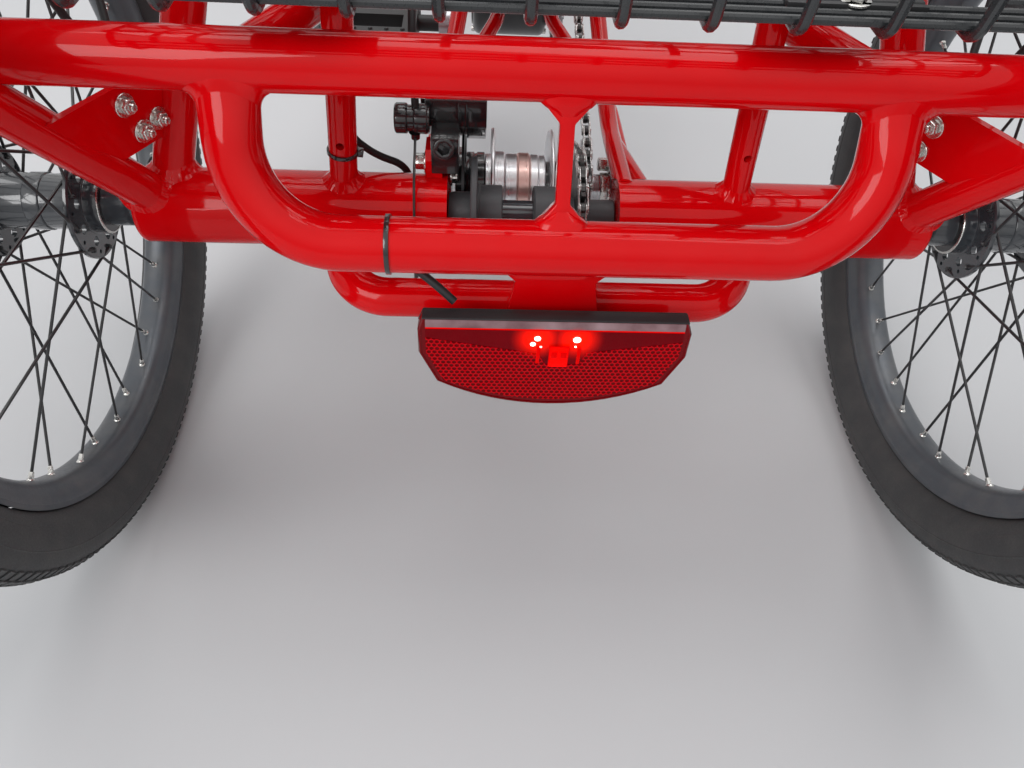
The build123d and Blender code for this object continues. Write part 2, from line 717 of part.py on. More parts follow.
with BuildPart() as tail_light_housing:
    with BuildSketch(lamp_plane(LAMP_BACK)):
        lamp_outline(4)
    with BuildSketch(lamp_plane(LAMP_SPLIT)):
        lamp_outline()
    loft()
save(tail_light_housing, "tail_light_housing")

with BuildPart() as tail_light_lens:
    with BuildSketch(lamp_plane(LAMP_SPLIT - 0.1)):
        lamp_outline()
    extrude(amount=LAMP_SPLIT - LAMP_FACE)
    chamfer(tail_light_lens.faces().sort_by(Axis.Y)[0].edges(), 2)
save(tail_light_lens, "tail_light_lens")

# Rear mudguards: curved shells over the wheels, with two rods each
GUARD_GAP = 14.0
GUARD_THICK = 2.0
GUARD_LIP = 9.0
GUARD_HALF = 33.0
GUARD_FROM = 25.0
GUARD_TO = 155.0
GUARD_ROD_R = 2.5


def guard_shell(x, y, angle_from, angle_to):
    """A thin arched band over a wheel at x, y, seen along X."""
    low = WHEEL_RADIUS + GUARD_GAP
    turn = radians(angle_from)
    plane = Plane(origin=(x, y, AXLE_Z), x_dir=(0, cos(turn), sin(turn)),
                  z_dir=(0, sin(turn), -cos(turn)))
    with BuildSketch(plane) as section:
        with Locations((low + GUARD_THICK - GUARD_LIP / 2, 0)):
            Rectangle(GUARD_LIP, 2 * GUARD_HALF)
        with Locations((low - GUARD_LIP / 2, 0)):
            Rectangle(GUARD_LIP, 2 * GUARD_HALF - 2 * GUARD_THICK, mode=Mode.SUBTRACT)
    revolve(section.sketch, axis=Axis((x, y, AXLE_Z), (1, 0, 0)),
            revolution_arc=angle_to - angle_from)


with BuildPart() as rear_mudguards:
    for side in (-1, 1):
        guard_shell(side * TRACK / 2, REAR_Y, GUARD_FROM, GUARD_TO)
        # Two rods reach from a plate on the gusset to the guard's inner edge
        out = GUSSET_THICK / 2 + SEAT
        with BuildSketch(gusset_plane(side, out)) as foot:
            with Locations((-9, 74)):
                Rectangle(28, 24)
        extrude(foot.sketch, amount=3 * side)
        start = gusset_plane(side, out + GUARD_ROD_R + SEAT).from_local_coords((-8, 78))
        edge = WHEEL_RADIUS + GUARD_GAP - 3
        for lean in (62, 98):
            tube(start, rear(side * (TRACK / 2 - GUARD_HALF + 1), edge * cos(radians(lean)),
                             edge * sin(radians(lean))), GUARD_ROD_R)
save(rear_mudguards, "rear_mudguards")


# Wheels: tyre, rim and spoked hub
def ring(x, y, profile):
    """A ring turned about the wheel's axle from x, radius corners."""
    with BuildSketch(Plane(origin=(x, y, AXLE_Z), x_dir=(1, 0, 0), z_dir=(0, -1, 0))) as section:
        with BuildLine():
            Polyline(*profile, close=True)
        make_face()
    revolve(section.sketch, axis=Axis((x, y, AXLE_Z), (1, 0, 0)))


TYRE_HALF = TYRE_WIDTH / 2
TYRE_SHOULDER = [
    # half width, radius
    (RIM_HALF - 1, RIM_OUTER_R + SEAT),
    (TYRE_HALF - 1, RIM_OUTER_R + 14),
    (TYRE_HALF, WHEEL_RADIUS - 18),
    (TYRE_HALF * 0.46, WHEEL_RADIUS),
]
TYRE_PROFILE = TYRE_SHOULDER + [(-x, r) for x, r in reversed(TYRE_SHOULDER)]
RIM_SHOULDER = [(10.0, RIM_INNER_R), (RIM_HALF, RIM_INNER_R + 9), (RIM_HALF, RIM_OUTER_R)]
RIM_PROFILE = RIM_SHOULDER + [(-x, r) for x, r in reversed(RIM_SHOULDER)]


def spokes(x, y, flange, phase):
    """Crossed spokes from both flanges to the middle of the rim."""
    for number in range(SPOKES):
        side = 1 if number % 2 else -1
        lead = radians(SPOKE_LEAD if (number // 2) % 2 else -SPOKE_LEAD)
        angle = 2 * pi * number / SPOKES + radians(phase)
        start = Vector(x + side * flange, y + SPOKE_CIRCLE_R * cos(angle + lead),
                       AXLE_Z + SPOKE_CIRCLE_R * sin(angle + lead))
        end = Vector(x + side * 2, y + (RIM_INNER_R - 0.5) * cos(angle),
                     AXLE_Z + (RIM_INNER_R - 0.5) * sin(angle))
        wire(start, end, SPOKE_R)


FRONT_HUB_HALF = FORK_HALF - FORK_BLADE_R - RUN
FRONT_ROTOR_X = -38.0
WHEELS = [
    # name, x, y, flange spacing from the middle, hub left end, hub right end, spoke phase
    ("left", -TRACK / 2, REAR_Y, REAR_FLANGE, -49.0, TRACK / 2 - HOUSING_END - RUN, 7.0),
    ("right", TRACK / 2, REAR_Y, REAR_FLANGE, -TRACK / 2 + HOUSING_END + RUN, 49.0, 5.0),
    ("front", 0.0, FRONT_Y, FRONT_FLANGE, -FRONT_HUB_HALF, FRONT_HUB_HALF, 0.0),
]
for name, x, y, flange, low, high, phase in WHEELS:
    with BuildPart() as tyre:
        ring(x, y, TYRE_PROFILE)
    save(tyre, f"{name}_tyre")
    with BuildPart() as rim:
        ring(x, y, RIM_PROFILE)
    save(rim, f"{name}_rim")
    with BuildPart() as hub:
        centre = Vector(x, y, AXLE_Z)
        tube(centre + Vector(low, 0, 0), centre + Vector(high, 0, 0), AXLE_SLEEVE_R - 3)
        tube(centre - Vector(flange + 6, 0, 0), centre + Vector(flange + 6, 0, 0), HUB_R)
        for side in (-1, 1):
            tube(centre + Vector(side * flange - 1.5, 0, 0),
                 centre + Vector(side * flange + 1.5, 0, 0), FLANGE_R)
        spokes(x, y, flange, phase)
        if name == "front":
            rotor = centre + Vector(FRONT_ROTOR_X, 0, 0)
            reach = Vector(ROTOR_THICK / 2, 0, 0)
            tube(rotor - reach, rotor + reach, ROTOR_R)
            tube(rotor - reach, centre, HUB_R)
    save(hub, f"{name}_hub")

# Cranks: chainring, spider and two arms
with BuildPart() as crankset:
    tube(crank_centre - Vector(CRANK_X - 6, 0, 0), crank_centre + Vector(CRANK_X + 4, 0, 0), 11)
    sprocket(DRIVE_CHAIN_X, CRANK_Y, CRANK_Z, CHAINRING_R, 42)
    with BuildSketch(Plane(origin=rear(DRIVE_CHAIN_X, CRANK_Y, CRANK_Z), x_dir=(0, 1, 0),
                           z_dir=(1, 0, 0))):
        with PolarLocations(52, 5):
            Circle(17)
    extrude(amount=SPROCKET_THICK, both=True, mode=Mode.SUBTRACT)
    for side in (-1, 1):
        with BuildSketch(Plane(origin=rear(side * CRANK_X, CRANK_Y, CRANK_Z), x_dir=(0, side, 0),
                               z_dir=(side, 0, 0))):
            with BuildLine():
                Polyline((-4, -16), (CRANK_LENGTH - 6, -11), (CRANK_LENGTH - 6, 11), (-4, 16),
                         close=True)
            make_face()
            Circle(17)
            with Locations((CRANK_LENGTH, 0)):
                Circle(13)
        extrude(amount=7, both=True)
save(crankset, "crankset")

# Pedals on their spindles
for name, side in (("left", -1), ("right", 1)):
    pedal_centre = rear(side * PEDAL_INNER_X, CRANK_Y + side * CRANK_LENGTH, CRANK_Z)
    with BuildPart() as pedal:
        with Locations(pedal_centre + Vector(side * PEDAL_WIDTH / 2, 0, 0)):
            Box(PEDAL_WIDTH, PEDAL_LENGTH, PEDAL_THICK)
            fillet(pedal.edges().filter_by(Axis.Z), 10)
            for along in (-1, 1):
                with Locations((0, along * PEDAL_LENGTH / 4, 0)):
                    Box(PEDAL_WIDTH - 24, PEDAL_LENGTH / 2 - 20, PEDAL_THICK + 1,
                        mode=Mode.SUBTRACT)
        tube(pedal_centre - Vector(side * (PEDAL_INNER_X - CRANK_X - 7 - SEAT), 0, 0),
             pedal_centre + Vector(side * 10, 0, 0), 7)
    save(pedal, f"{name}_pedal")

# Seat post with the saddle's rails, and the saddle
saddle_z = AXLE_Z + SADDLE_TOP - SADDLE_THICK
post_reach = (saddle_z - 26 - crank_centre.Z) / lean_back.Z
post_top = crank_centre + lean_back * post_reach
post_foot = seat_top - lean_back * 155
with BuildPart() as seat_post:
    tube(post_foot, post_top, SEAT_POST_R)
    with Locations(post_top):
        Cylinder(19, 40, rotation=(0, 90, 0))
    for side in (-1, 1):
        bent_tube(
            [
                post_top + Vector(side * 20, 115, 22),
                post_top + Vector(side * 20, 60, 6),
                post_top + Vector(side * 22, -60, 6),
                post_top + Vector(side * 34, -108, 22),
            ],
            [20, 20],
            3.5,
        )
save(seat_post, "seat_post")

saddle_middle_y = post_top.Y - 12
with BuildPart() as saddle:
    with BuildSketch(Plane(origin=(0, saddle_middle_y, saddle_z))):
        with BuildLine():
            half = SADDLE_WIDTH / 2
            back = -SADDLE_LENGTH / 2
            Polyline((-24, back + SADDLE_LENGTH - 20), (-40, 26), (-half, -34))
            ThreePointArc((-half, -34), (-half + 18, back + 22), (-half + 60, back))
            Line((-half + 60, back), (half - 60, back))
            ThreePointArc((half - 60, back), (half - 18, back + 22), (half, -34))
            Polyline((half, -34), (40, 26), (24, back + SADDLE_LENGTH - 20))
            ThreePointArc((24, back + SADDLE_LENGTH - 20), (0, back + SADDLE_LENGTH),
                          (-24, back + SADDLE_LENGTH - 20))
        make_face()
    extrude(amount=SADDLE_THICK)
    fillet(saddle.faces().sort_by(Axis.Z)[-1].edges(), 14)
    for side in (-1, 1):
        bent_tube(
            [
                post_top + Vector(side * 20, 115, 22),
                post_top + Vector(side * 20, 60, 6),
                post_top + Vector(side * 22, -60, 6),
                post_top + Vector(side * 34, -108, 22),
            ],
            [20, 20],
            3.5 + SEAT,
            Mode.SUBTRACT,
        )
save(saddle, "saddle")

# Basket: wall wires that hook under the floor's rods, rims and two clamp plates
ROD_Z = BASKET_FLOOR + BASKET_WIRE_R + BASKET_ROD_R - 0.8
REAR_RODS = (-92.6, -84.7, -76.5)
RUNNERS_X = (-143.5, -61.5, 61.5, 143.5)
CLAMP_X = 131.5
with BuildPart() as basket:
    top_half = BASKET_HALF + BASKET_FLARE
    top_rear = BASKET_REAR_Y - BASKET_FLARE
    top_front = BASKET_FRONT_Y + BASKET_FLARE
    rod_half = BASKET_HALF - BASKET_WIRE_R

    def wire_ring(z, half_x, y_rear, y_front, radius):
        """A closed rectangle of wire at one height."""
        for y in (y_rear, y_front):
            wire(rear(-half_x - radius, y, z), rear(half_x + radius, y, z), radius)
        for x in (-half_x, half_x):
            wire(rear(x, y_rear, z), rear(x, y_front, z), radius)

    def wall_wire(foot, top, inward):
        """A wall wire from the top rim down to its hook under the rods."""
        wire(foot, top, BASKET_WIRE_R)
        wire(foot - inward * BASKET_WIRE_R, foot + inward * BASKET_HOOK, BASKET_WIRE_R)

    wire_ring(BASKET_TOP, top_half, top_rear, top_front, 4.0)
    wire_ring((BASKET_FLOOR + BASKET_TOP) / 2, (BASKET_HALF + top_half) / 2,
              (BASKET_REAR_Y + top_rear) / 2, (BASKET_FRONT_Y + top_front) / 2, BASKET_WIRE_R)
    across = int(2 * BASKET_HALF / BASKET_PITCH)
    for number in range(across + 1):
        x = (number - across / 2) * BASKET_PITCH
        x_top = x * top_half / BASKET_HALF
        wall_wire(rear(x, BASKET_REAR_Y, BASKET_FLOOR), rear(x_top, top_rear, BASKET_TOP),
                  Vector(0, 1, 0))
        wall_wire(rear(x, BASKET_FRONT_Y, BASKET_FLOOR), rear(x_top, top_front, BASKET_TOP),
                  Vector(0, -1, 0))
    along = int((BASKET_FRONT_Y - BASKET_REAR_Y) / BASKET_PITCH)
    for number in range(1, along):
        y = BASKET_REAR_Y + (BASKET_FRONT_Y - BASKET_REAR_Y) * number / along
        for side in (-1, 1):
            wall_wire(rear(side * BASKET_HALF, y, BASKET_FLOOR),
                      rear(side * top_half, y, BASKET_TOP), Vector(-side, 0, 0))
    rods = list(REAR_RODS) + [BASKET_FRONT_Y - 5 - BASKET_PITCH * row / 2 for row in range(12)]
    for y in rods:
        wire(rear(-rod_half, y, ROD_Z), rear(rod_half, y, ROD_Z), BASKET_ROD_R)
    for x in (-rod_half, rod_half):
        wire(rear(x, REAR_RODS[0], ROD_Z), rear(x, BASKET_FRONT_Y - 5, ROD_Z), BASKET_ROD_R)
    # Runners carry the rods on the rack, and plates clamp them from above
    for x in RUNNERS_X:
        wire(rear(x, REAR_RODS[2] + 14, BASKET_FLOOR), rear(x, BASKET_FRONT_Y - 3, BASKET_FLOOR),
             BASKET_WIRE_R)
    for side in (-1, 1):
        with Locations(rear(side * CLAMP_X, -58, ROD_Z + BASKET_ROD_R)):
            Box(67, 50, 4)
    rack_bars(RACK_R + COPE, Mode.SUBTRACT)
save(basket, "basket")

# Front part of the main tube with the head tube
steer_up = Vector(0, -cos(radians(HEAD_ANGLE)), sin(radians(HEAD_ANGLE)))
steer_ahead = Vector(0, sin(radians(HEAD_ANGLE)), cos(radians(HEAD_ANGLE)))
front_axle = Vector(0, FRONT_Y, AXLE_Z)
steer_foot = front_axle - steer_ahead * FORK_OFFSET


def steer(distance):
    """A point on the steering axis, measured up from beside the front axle."""
    return steer_foot + steer_up * distance


head_middle = steer((HEAD_LOW + HEAD_HIGH) / 2)
with BuildPart() as main_tube_front:
    bent_tube(
        [
            hinge_centre + Vector(0, HINGE_PLATE, 0),
            hinge_centre + Vector(0, 120, 22),
            head_middle - steer_up * 6,
        ],
        [150],
        MAIN_TUBE_R,
    )
    tube(steer(HEAD_LOW), steer(HEAD_HIGH), HEAD_TUBE_R)
    hinge_plate(HINGE_Y + 0.5, HINGE_Y + HINGE_PLATE + 0.5)
    knuckle(-14.4, 14.4, HINGE_PLATE + 0.5)
    with Locations(hinge_axis):
        Cylinder(HINGE_PIN_R + SEAT, 30, mode=Mode.SUBTRACT)
    tube(steer(HEAD_LOW - 5), steer(HEAD_HIGH + 5), STEERER_R + RUN, Mode.SUBTRACT)
save(main_tube_front, "main_tube_front")

# Fork: steerer, crown, two blades and their dropouts
with BuildPart() as fork:
    tube(steer(HEAD_LOW - 4), steer(POST_HINGE - 15), STEERER_R)
    tube(steer(HEAD_LOW - 22), steer(HEAD_LOW - 2 * SEAT), CROWN_R)
    for side in (-1, 1):
        reach = Vector(side * FORK_HALF, 0, 0)
        bent_tube(
            [steer(HEAD_LOW - 11), steer(HEAD_LOW - 14) + reach, steer(150) + reach,
             front_axle + reach],
            [24, 160],
            FORK_BLADE_R,
        )
save(fork, "fork")

# Front mudguard
with BuildPart() as front_mudguard:
    guard_shell(0, FRONT_Y, 60, 200)
    edge = WHEEL_RADIUS + GUARD_GAP - 3
    for side in (-1, 1):
        tube(front_axle + Vector(side * (FORK_HALF + FORK_BLADE_R + 3), -6, 4),
             front_axle + Vector(side * (GUARD_HALF - 1), edge * cos(radians(165)),
                                 edge * sin(radians(165))), GUARD_ROD_R)
        tube(front_axle + Vector(side * (FORK_HALF + FORK_BLADE_R + SEAT), -6, 4),
             front_axle + Vector(side * (FORK_HALF + FORK_BLADE_R + 6), -6, 4), 6)
save(front_mudguard, "front_mudguard")

# Folding handlepost: a stem block on the steerer and a post that folds forward
BLOCK_WIDTH = 44.0
BLOCK_HALF_DEPTH = 22.0
PIN_AHEAD = 30.0
LUG_R = 7.0
BAR_CLAMP_R = 17.0
bar_centre = steer(BAR_AT)
post_pin = steer(POST_HINGE + 3) + steer_ahead * PIN_AHEAD


def lug(x_low, x_high, drop):
    """A lug round the post's fold pin, with its web to a block."""
    tube(post_pin + Vector(x_low, 0, 0), post_pin + Vector(x_high, 0, 0), LUG_R)
    middle = post_pin + Vector((x_low + x_high) / 2, 0, 0)
    web = Plane(origin=middle - steer_ahead * 8 + steer_up * drop, z_dir=steer_up,
                x_dir=(1, 0, 0))
    with Locations(web):
        Box(x_high - x_low, 16, 10)


with BuildPart() as handlepost:
    tube(steer(POST_HINGE + 4), bar_centre, 16)
    with Locations(Plane(origin=steer(POST_HINGE + 16), z_dir=steer_up, x_dir=(1, 0, 0))):
        Box(BLOCK_WIDTH, 2 * BLOCK_HALF_DEPTH, 24)
    lug(-7, 7, 6)
    reach = Vector(60, 0, 0)
    tube(bar_centre - reach, bar_centre + reach, BAR_CLAMP_R + COPE, Mode.SUBTRACT)
save(handlepost, "handlepost")

with BuildPart() as stem_hinge:
    tube(steer(HEAD_HIGH + SEAT), steer(POST_HINGE - 9), HEAD_TUBE_R)
    with Locations(Plane(origin=steer(POST_HINGE - 6), z_dir=steer_up, x_dir=(1, 0, 0))):
        Box(BLOCK_WIDTH, 2 * BLOCK_HALF_DEPTH, 15)
    for low, high in ((-20, -7.6), (7.6, 20)):
        lug(low, high, -6)
    tube(steer(HEAD_HIGH - 2), steer(POST_HINGE - 14.6), STEERER_R + SEAT, Mode.SUBTRACT)
save(stem_hinge, "stem_hinge")

# Handlebar swept back, with grips
with BuildPart() as handlebar:
    bent_tube(
        [
            bar_centre + Vector(-BAR_HALF, -110, 4),
            bar_centre + Vector(-150, -20, 20),
            bar_centre + Vector(-60, 0, 0),
            bar_centre + Vector(60, 0, 0),
            bar_centre + Vector(150, -20, 20),
            bar_centre + Vector(BAR_HALF, -110, 4),
        ],
        [60, 40, 40, 60],
        11,
    )
    tube(bar_centre - Vector(26, 0, 0), bar_centre + Vector(26, 0, 0), BAR_CLAMP_R)
save(handlebar, "handlebar")

GRIP_LENGTH = 110.0
BAR_ENDS = [
    # side, outer end of the bar
    (-1, bar_centre + Vector(-BAR_HALF, -110, 4)),
    (1, bar_centre + Vector(BAR_HALF, -110, 4)),
]
with BuildPart() as grips:
    for side, outer in BAR_ENDS:
        inner = bar_centre + Vector(side * 150, -20, 20)
        inward = (inner - outer).normalized()
        tube(outer - inward * 4, outer + inward * GRIP_LENGTH, 16)
        tube(outer - inward * SEAT, outer + inward * (GRIP_LENGTH + 2), 11 + COPE, Mode.SUBTRACT)
save(grips, "grips")

# Brake levers: a clamp on the bar and a bent blade in front of each grip
with BuildPart() as brake_levers:
    for side, outer in BAR_ENDS:
        inner = bar_centre + Vector(side * 150, -20, 20)
        inward = (inner - outer).normalized()
        ahead = inward.cross(Vector(0, 0, side)).normalized()
        clamp = outer + inward * (GRIP_LENGTH + 14)
        tube(clamp - inward * 9, clamp + inward * 9, 16)
        tube(clamp + ahead * 4, clamp + ahead * 32, 8)
        bent_tube([clamp + ahead * 30 + inward * 8, clamp + ahead * 44 - inward * 32,
                   clamp + ahead * 40 - inward * 104], [20], 4.5)
        tube(clamp - inward * 20, clamp + inward * 20, 11 + COPE, Mode.SUBTRACT)
save(brake_levers, "brake_levers")

# Display on the bar's middle
with BuildPart() as display:
    display_plane = Plane(origin=bar_centre + Vector(0, -14, 40), x_dir=(1, 0, 0),
                          z_dir=(0, -0.6, 0.8))
    with BuildSketch(display_plane):
        RectangleRounded(86, 52, 8)
    extrude(amount=14)
    with Locations(bar_centre + Vector(-36, -6, 22), bar_centre + Vector(36, -6, 22)):
        Box(12, 26, 52)
    tube(bar_centre - Vector(60, 0, 0), bar_centre + Vector(60, 0, 0), 11 + COPE, Mode.SUBTRACT)
    with BuildSketch(display_plane.offset(14)):
        Rectangle(200, 200)
    extrude(amount=60, mode=Mode.SUBTRACT)
save(display, "display")

# Head light on a bracket ahead of the fork crown
with BuildPart() as front_light:
    light_centre = steer(HEAD_LOW + 34) + steer_ahead * 66
    with BuildSketch(Plane(origin=light_centre + Vector(0, -20, 0), z_dir=(0, 1, 0))):
        Circle(14)
    with BuildSketch(Plane(origin=light_centre + Vector(0, 18, 0), z_dir=(0, 1, 0))):
        Circle(27)
    loft()
    bracket_foot = steer(HEAD_LOW - 12) + steer_ahead * 15
    bent_tube([bracket_foot, bracket_foot + steer_ahead * 48, light_centre - steer_up * 18],
              [14], 5)
    tube(steer(HEAD_LOW - 40), steer(HEAD_LOW + 10), CROWN_R + COPE, Mode.SUBTRACT)
save(front_light, "front_light")

# Front brake caliper between the left fork blade and the rotor
with BuildPart() as front_caliper:
    caliper_at = front_axle + Vector(FRONT_ROTOR_X - 0.5, -42, 46)
    with Locations(caliper_at):
        Box(15, 36, 38)
    fillet(front_caliper.edges().filter_by(Axis.X), 7)
    rotor = front_axle + Vector(FRONT_ROTOR_X, 0, 0)
    reach = Vector(CALIPER_GAP, 0, 0)
    tube(rotor - reach, rotor + reach, ROTOR_R + 4, Mode.SUBTRACT)
save(front_caliper, "front_caliper")

# Cables: the lamp's lead up to the bumper, and the rear brake cable
CABLE_R = 2.5
LIGHT_LEAD = [
    rear(-56, -101, LAMP_TOP + SEAT),
    rear(-68, -96, 18),
    rear(-85, -88, 28),
    rear(-100, -83.5, 30.5),
    rear(-98, -52, -6),
    rear(-98, -8, -31),
    rear(-95, 22, -24),
    rear(-90, 31, 0),
    rear(-94, 25, 20),
    rear(-112, 20, 30),
    rear(-128, 11, 50),
    rear(-124, 9, 100),
    rear(-122, 7.5, 145),
]
BRAKE_LEAD = [
    rear(-84, 16, 69.5),
    rear(-84, 14, 128),
    rear(-84, 100, 140),
    rear(-80, 200, 134.5),
    rear(-52, 280, 131),
]


def lead(points, name):
    """A cable tube whose arcs are as large as its runs allow."""
    bends = []
    for before, here, after in zip(points, points[1:], points[2:]):
        turn = radians((here - before).get_angle(after - here))
        shorter = min((here - before).length, (after - here).length)
        bends.append(0.45 * shorter / tan(turn / 2))
    with BuildPart() as cable:
        bent_tube(points, bends, CABLE_R)
    print(name, "bends", [round(bend, 1) for bend in bends])
    save(cable, name)


lead(LIGHT_LEAD, "light_cable")
lead(BRAKE_LEAD, "brake_cable")
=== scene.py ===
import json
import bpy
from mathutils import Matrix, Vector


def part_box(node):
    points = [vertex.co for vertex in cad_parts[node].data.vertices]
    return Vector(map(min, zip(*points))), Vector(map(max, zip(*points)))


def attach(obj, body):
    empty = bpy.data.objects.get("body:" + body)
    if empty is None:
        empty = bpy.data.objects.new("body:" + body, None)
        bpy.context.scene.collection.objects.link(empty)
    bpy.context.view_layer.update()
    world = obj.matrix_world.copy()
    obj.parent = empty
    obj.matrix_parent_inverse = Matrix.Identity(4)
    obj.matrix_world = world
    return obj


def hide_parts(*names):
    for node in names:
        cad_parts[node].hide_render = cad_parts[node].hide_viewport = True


bl_info = {
    "name": "Folding Electric Tricycle",
    "version": (1, 0, 0),
    "blender": (4, 5, 0),
    "location": "View3D > Sidebar > Tricycle",
    "description": "Dresses the packed folding tricycle: finishes, wheels, chains, lamp, basket and studio",
    "category": "Object",
}

from math import acos, atan2, cos, pi, radians, sin, sqrt

import bmesh
import bpy
from mathutils import Matrix, Vector

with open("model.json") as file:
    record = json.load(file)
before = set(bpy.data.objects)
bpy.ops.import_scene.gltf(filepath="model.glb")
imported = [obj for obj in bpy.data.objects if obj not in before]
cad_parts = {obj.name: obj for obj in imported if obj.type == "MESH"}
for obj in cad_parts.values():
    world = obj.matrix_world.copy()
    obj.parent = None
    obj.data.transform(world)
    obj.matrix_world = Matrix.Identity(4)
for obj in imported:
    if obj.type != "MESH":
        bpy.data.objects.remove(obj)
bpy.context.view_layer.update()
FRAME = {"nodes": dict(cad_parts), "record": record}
MM = 0.001


def middle(node):
    """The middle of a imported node's box, in millimetres."""
    low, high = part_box(node)
    return (low + high) / 2 / MM


LEFT_WHEEL = middle("left_tyre")
RIGHT_WHEEL = middle("right_tyre")
FRONT_WHEEL = middle("front_tyre")
AXLE = Vector((0, LEFT_WHEEL.y, LEFT_WHEEL.z))
X = Vector((1, 0, 0))
Y = Vector((0, 1, 0))
Z = Vector((0, 0, 1))


def rear(x, y, z):
    """A point measured from the rear axle centre."""
    return AXLE + Vector((x, y, z))


# Shapes are gathered in millimetres and become one mesh for each piece


class Shape:
    """Points and faces, with the number of a finish for each face."""

    def __init__(self):
        self.points, self.faces, self.marks = [], [], []

    def add(self, points, faces, mark):
        start = len(self.points)
        self.points += [Vector(point) for point in points]
        self.faces += [[start + i for i in face] for face in faces]
        self.marks += [mark] * len(faces)


def across(way):
    """Two directions square to way and to each other."""
    way = Vector(way).normalized()
    first = way.orthogonal().normalized()
    return first, way.cross(first)


def ring(centre, first, second, radius, sides):
    return [
        centre + (first * cos(2 * pi * i / sides) + second * sin(2 * pi * i / sides)) * radius
        for i in range(sides)
    ]


def bridge(shape, rings, mark=0, closed=False, caps=True):
    """Join rings of equal size into a skin."""
    sides = len(rings[0])
    points = [point for one in rings for point in one]
    faces = []
    last = len(rings) if closed else len(rings) - 1
    for row in range(last):
        low, high = row * sides, (row + 1) % len(rings) * sides
        for i in range(sides):
            j = (i + 1) % sides
            faces.append([low + i, low + j, high + j, high + i])
    if caps and not closed:
        faces.append(list(range(sides))[::-1])
        faces.append([(len(rings) - 1) * sides + i for i in range(sides)])
    shape.add(points, faces, mark)


def turned(shape, profile, centre, way=X, sides=32, mark=0, closed=False):
    """A profile of (along, radius) pairs turned about a line through centre."""
    way = Vector(way).normalized()
    first, second = across(way)
    rings = [ring(centre + way * along, first, second, radius, sides) for along, radius in profile]
    bridge(shape, rings, mark, closed)


def tube(shape, path, radius, sides=12, closed=False):
    """A round tube along a line of points."""
    count = len(path)
    radii = radius if isinstance(radius, list) else [radius] * count
    ways = []
    for i in range(count):
        before = path[i - 1] if i or closed else path[i]
        after = path[(i + 1) % count] if i < count - 1 or closed else path[i]
        ways.append((after - before).normalized())
    first = across(ways[0])[0]
    rings = []
    for point, way, size in zip(path, ways, radii):
        first = (first - way * first.dot(way)).normalized()
        rings.append(ring(point, first, way.cross(first), size, sides))
    bridge(shape, rings, closed=closed)


def slab(shape, outline, origin, first, second, low, high, mark=0):
    """A flat outline, drawn along first and second, given depth along their normal."""
    up = Vector(first).cross(Vector(second)).normalized()
    base = [origin + first * a + second * b for a, b in outline]
    rings = [[point + up * depth for point in base] for depth in (low, high)]
    bridge(shape, rings, mark)


def box(shape, centre, size, mark=0, first=X, second=Y):
    a, b = size[0] / 2, size[1] / 2
    slab(shape, [(-a, -b), (a, -b), (a, b), (-a, b)], centre, first, second,
         -size[2] / 2, size[2] / 2, mark)


def arc(middle_at, radius, start, end, steps):
    """Points of an arc, in degrees, as pairs."""
    return [
        (middle_at[0] + radius * cos(radians(start + (end - start) * i / steps)),
         middle_at[1] + radius * sin(radians(start + (end - start) * i / steps)))
        for i in range(steps + 1)
    ]


def rounded(points, bends, steps=8):
    """Straight runs joined by tangent arcs."""
    path = [points[0]]
    for before, here, after, bend in zip(points, points[1:], points[2:], bends):
        inward, outward = (before - here).normalized(), (after - here).normalized()
        half = acos(max(-1, min(1, inward.dot(outward)))) / 2
        reach = bend * cos(half) / sin(half)
        centre = here + (inward + outward).normalized() * bend / sin(half)
        start, end = here + inward * reach - centre, here + outward * reach - centre
        turn = pi - 2 * half
        for i in range(steps + 1):
            a = turn * i / steps
            path.append(centre + (start * sin(turn - a) + end * sin(a)) / sin(turn))
    return path + [points[-1]]


def settle(mesh, sharp=35):
    """Merge doubles, point the faces outwards and smooth what isn't an edge."""
    work = bmesh.new()
    work.from_mesh(mesh)
    bmesh.ops.remove_doubles(work, verts=work.verts, dist=2e-6)
    bmesh.ops.recalc_face_normals(work, faces=work.faces)
    work.to_mesh(mesh)
    work.free()
    mesh.shade_smooth()
    mesh.set_sharp_from_angle(angle=radians(sharp))


def baked(thing):
    """The mesh that an object's modifiers make of it."""
    bpy.context.view_layer.update()
    graph = bpy.context.evaluated_depsgraph_get()
    return bpy.data.meshes.new_from_object(thing.evaluated_get(graph))


def put(name, mesh):
    thing = bpy.data.objects.new(name, mesh)
    bpy.context.scene.collection.objects.link(thing)
    return thing


def fit(thing, body, instead=()):
    """Hang a finished piece on its body."""
    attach(thing, body)
    if instead:
        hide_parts(*instead)
    return thing


def piece(name, shape, looks, body, bevel=0.0, sharp=35, instead=()):
    """One finished piece: its mesh, the finishes it is named for, its edges and body."""
    mesh = bpy.data.meshes.new(name)
    mesh.from_pydata([point * MM for point in shape.points], [], shape.faces)
    for look in looks:
        mesh.materials.append(FINISHES[look])
    mesh.polygons.foreach_set("material_index", shape.marks)
    settle(mesh, sharp)
    thing = put(name, mesh)
    if bevel:
        edge = thing.modifiers.new("edges", "BEVEL")
        edge.width = bevel * MM
        edge.segments = 2
        edge.limit_method = "ANGLE"
        edge.angle_limit = radians(38)
        edge.use_clamp_overlap = True
        thing.data = baked(thing)
        thing.modifiers.clear()
        settle(thing.data, sharp)
    return fit(thing, body, instead)
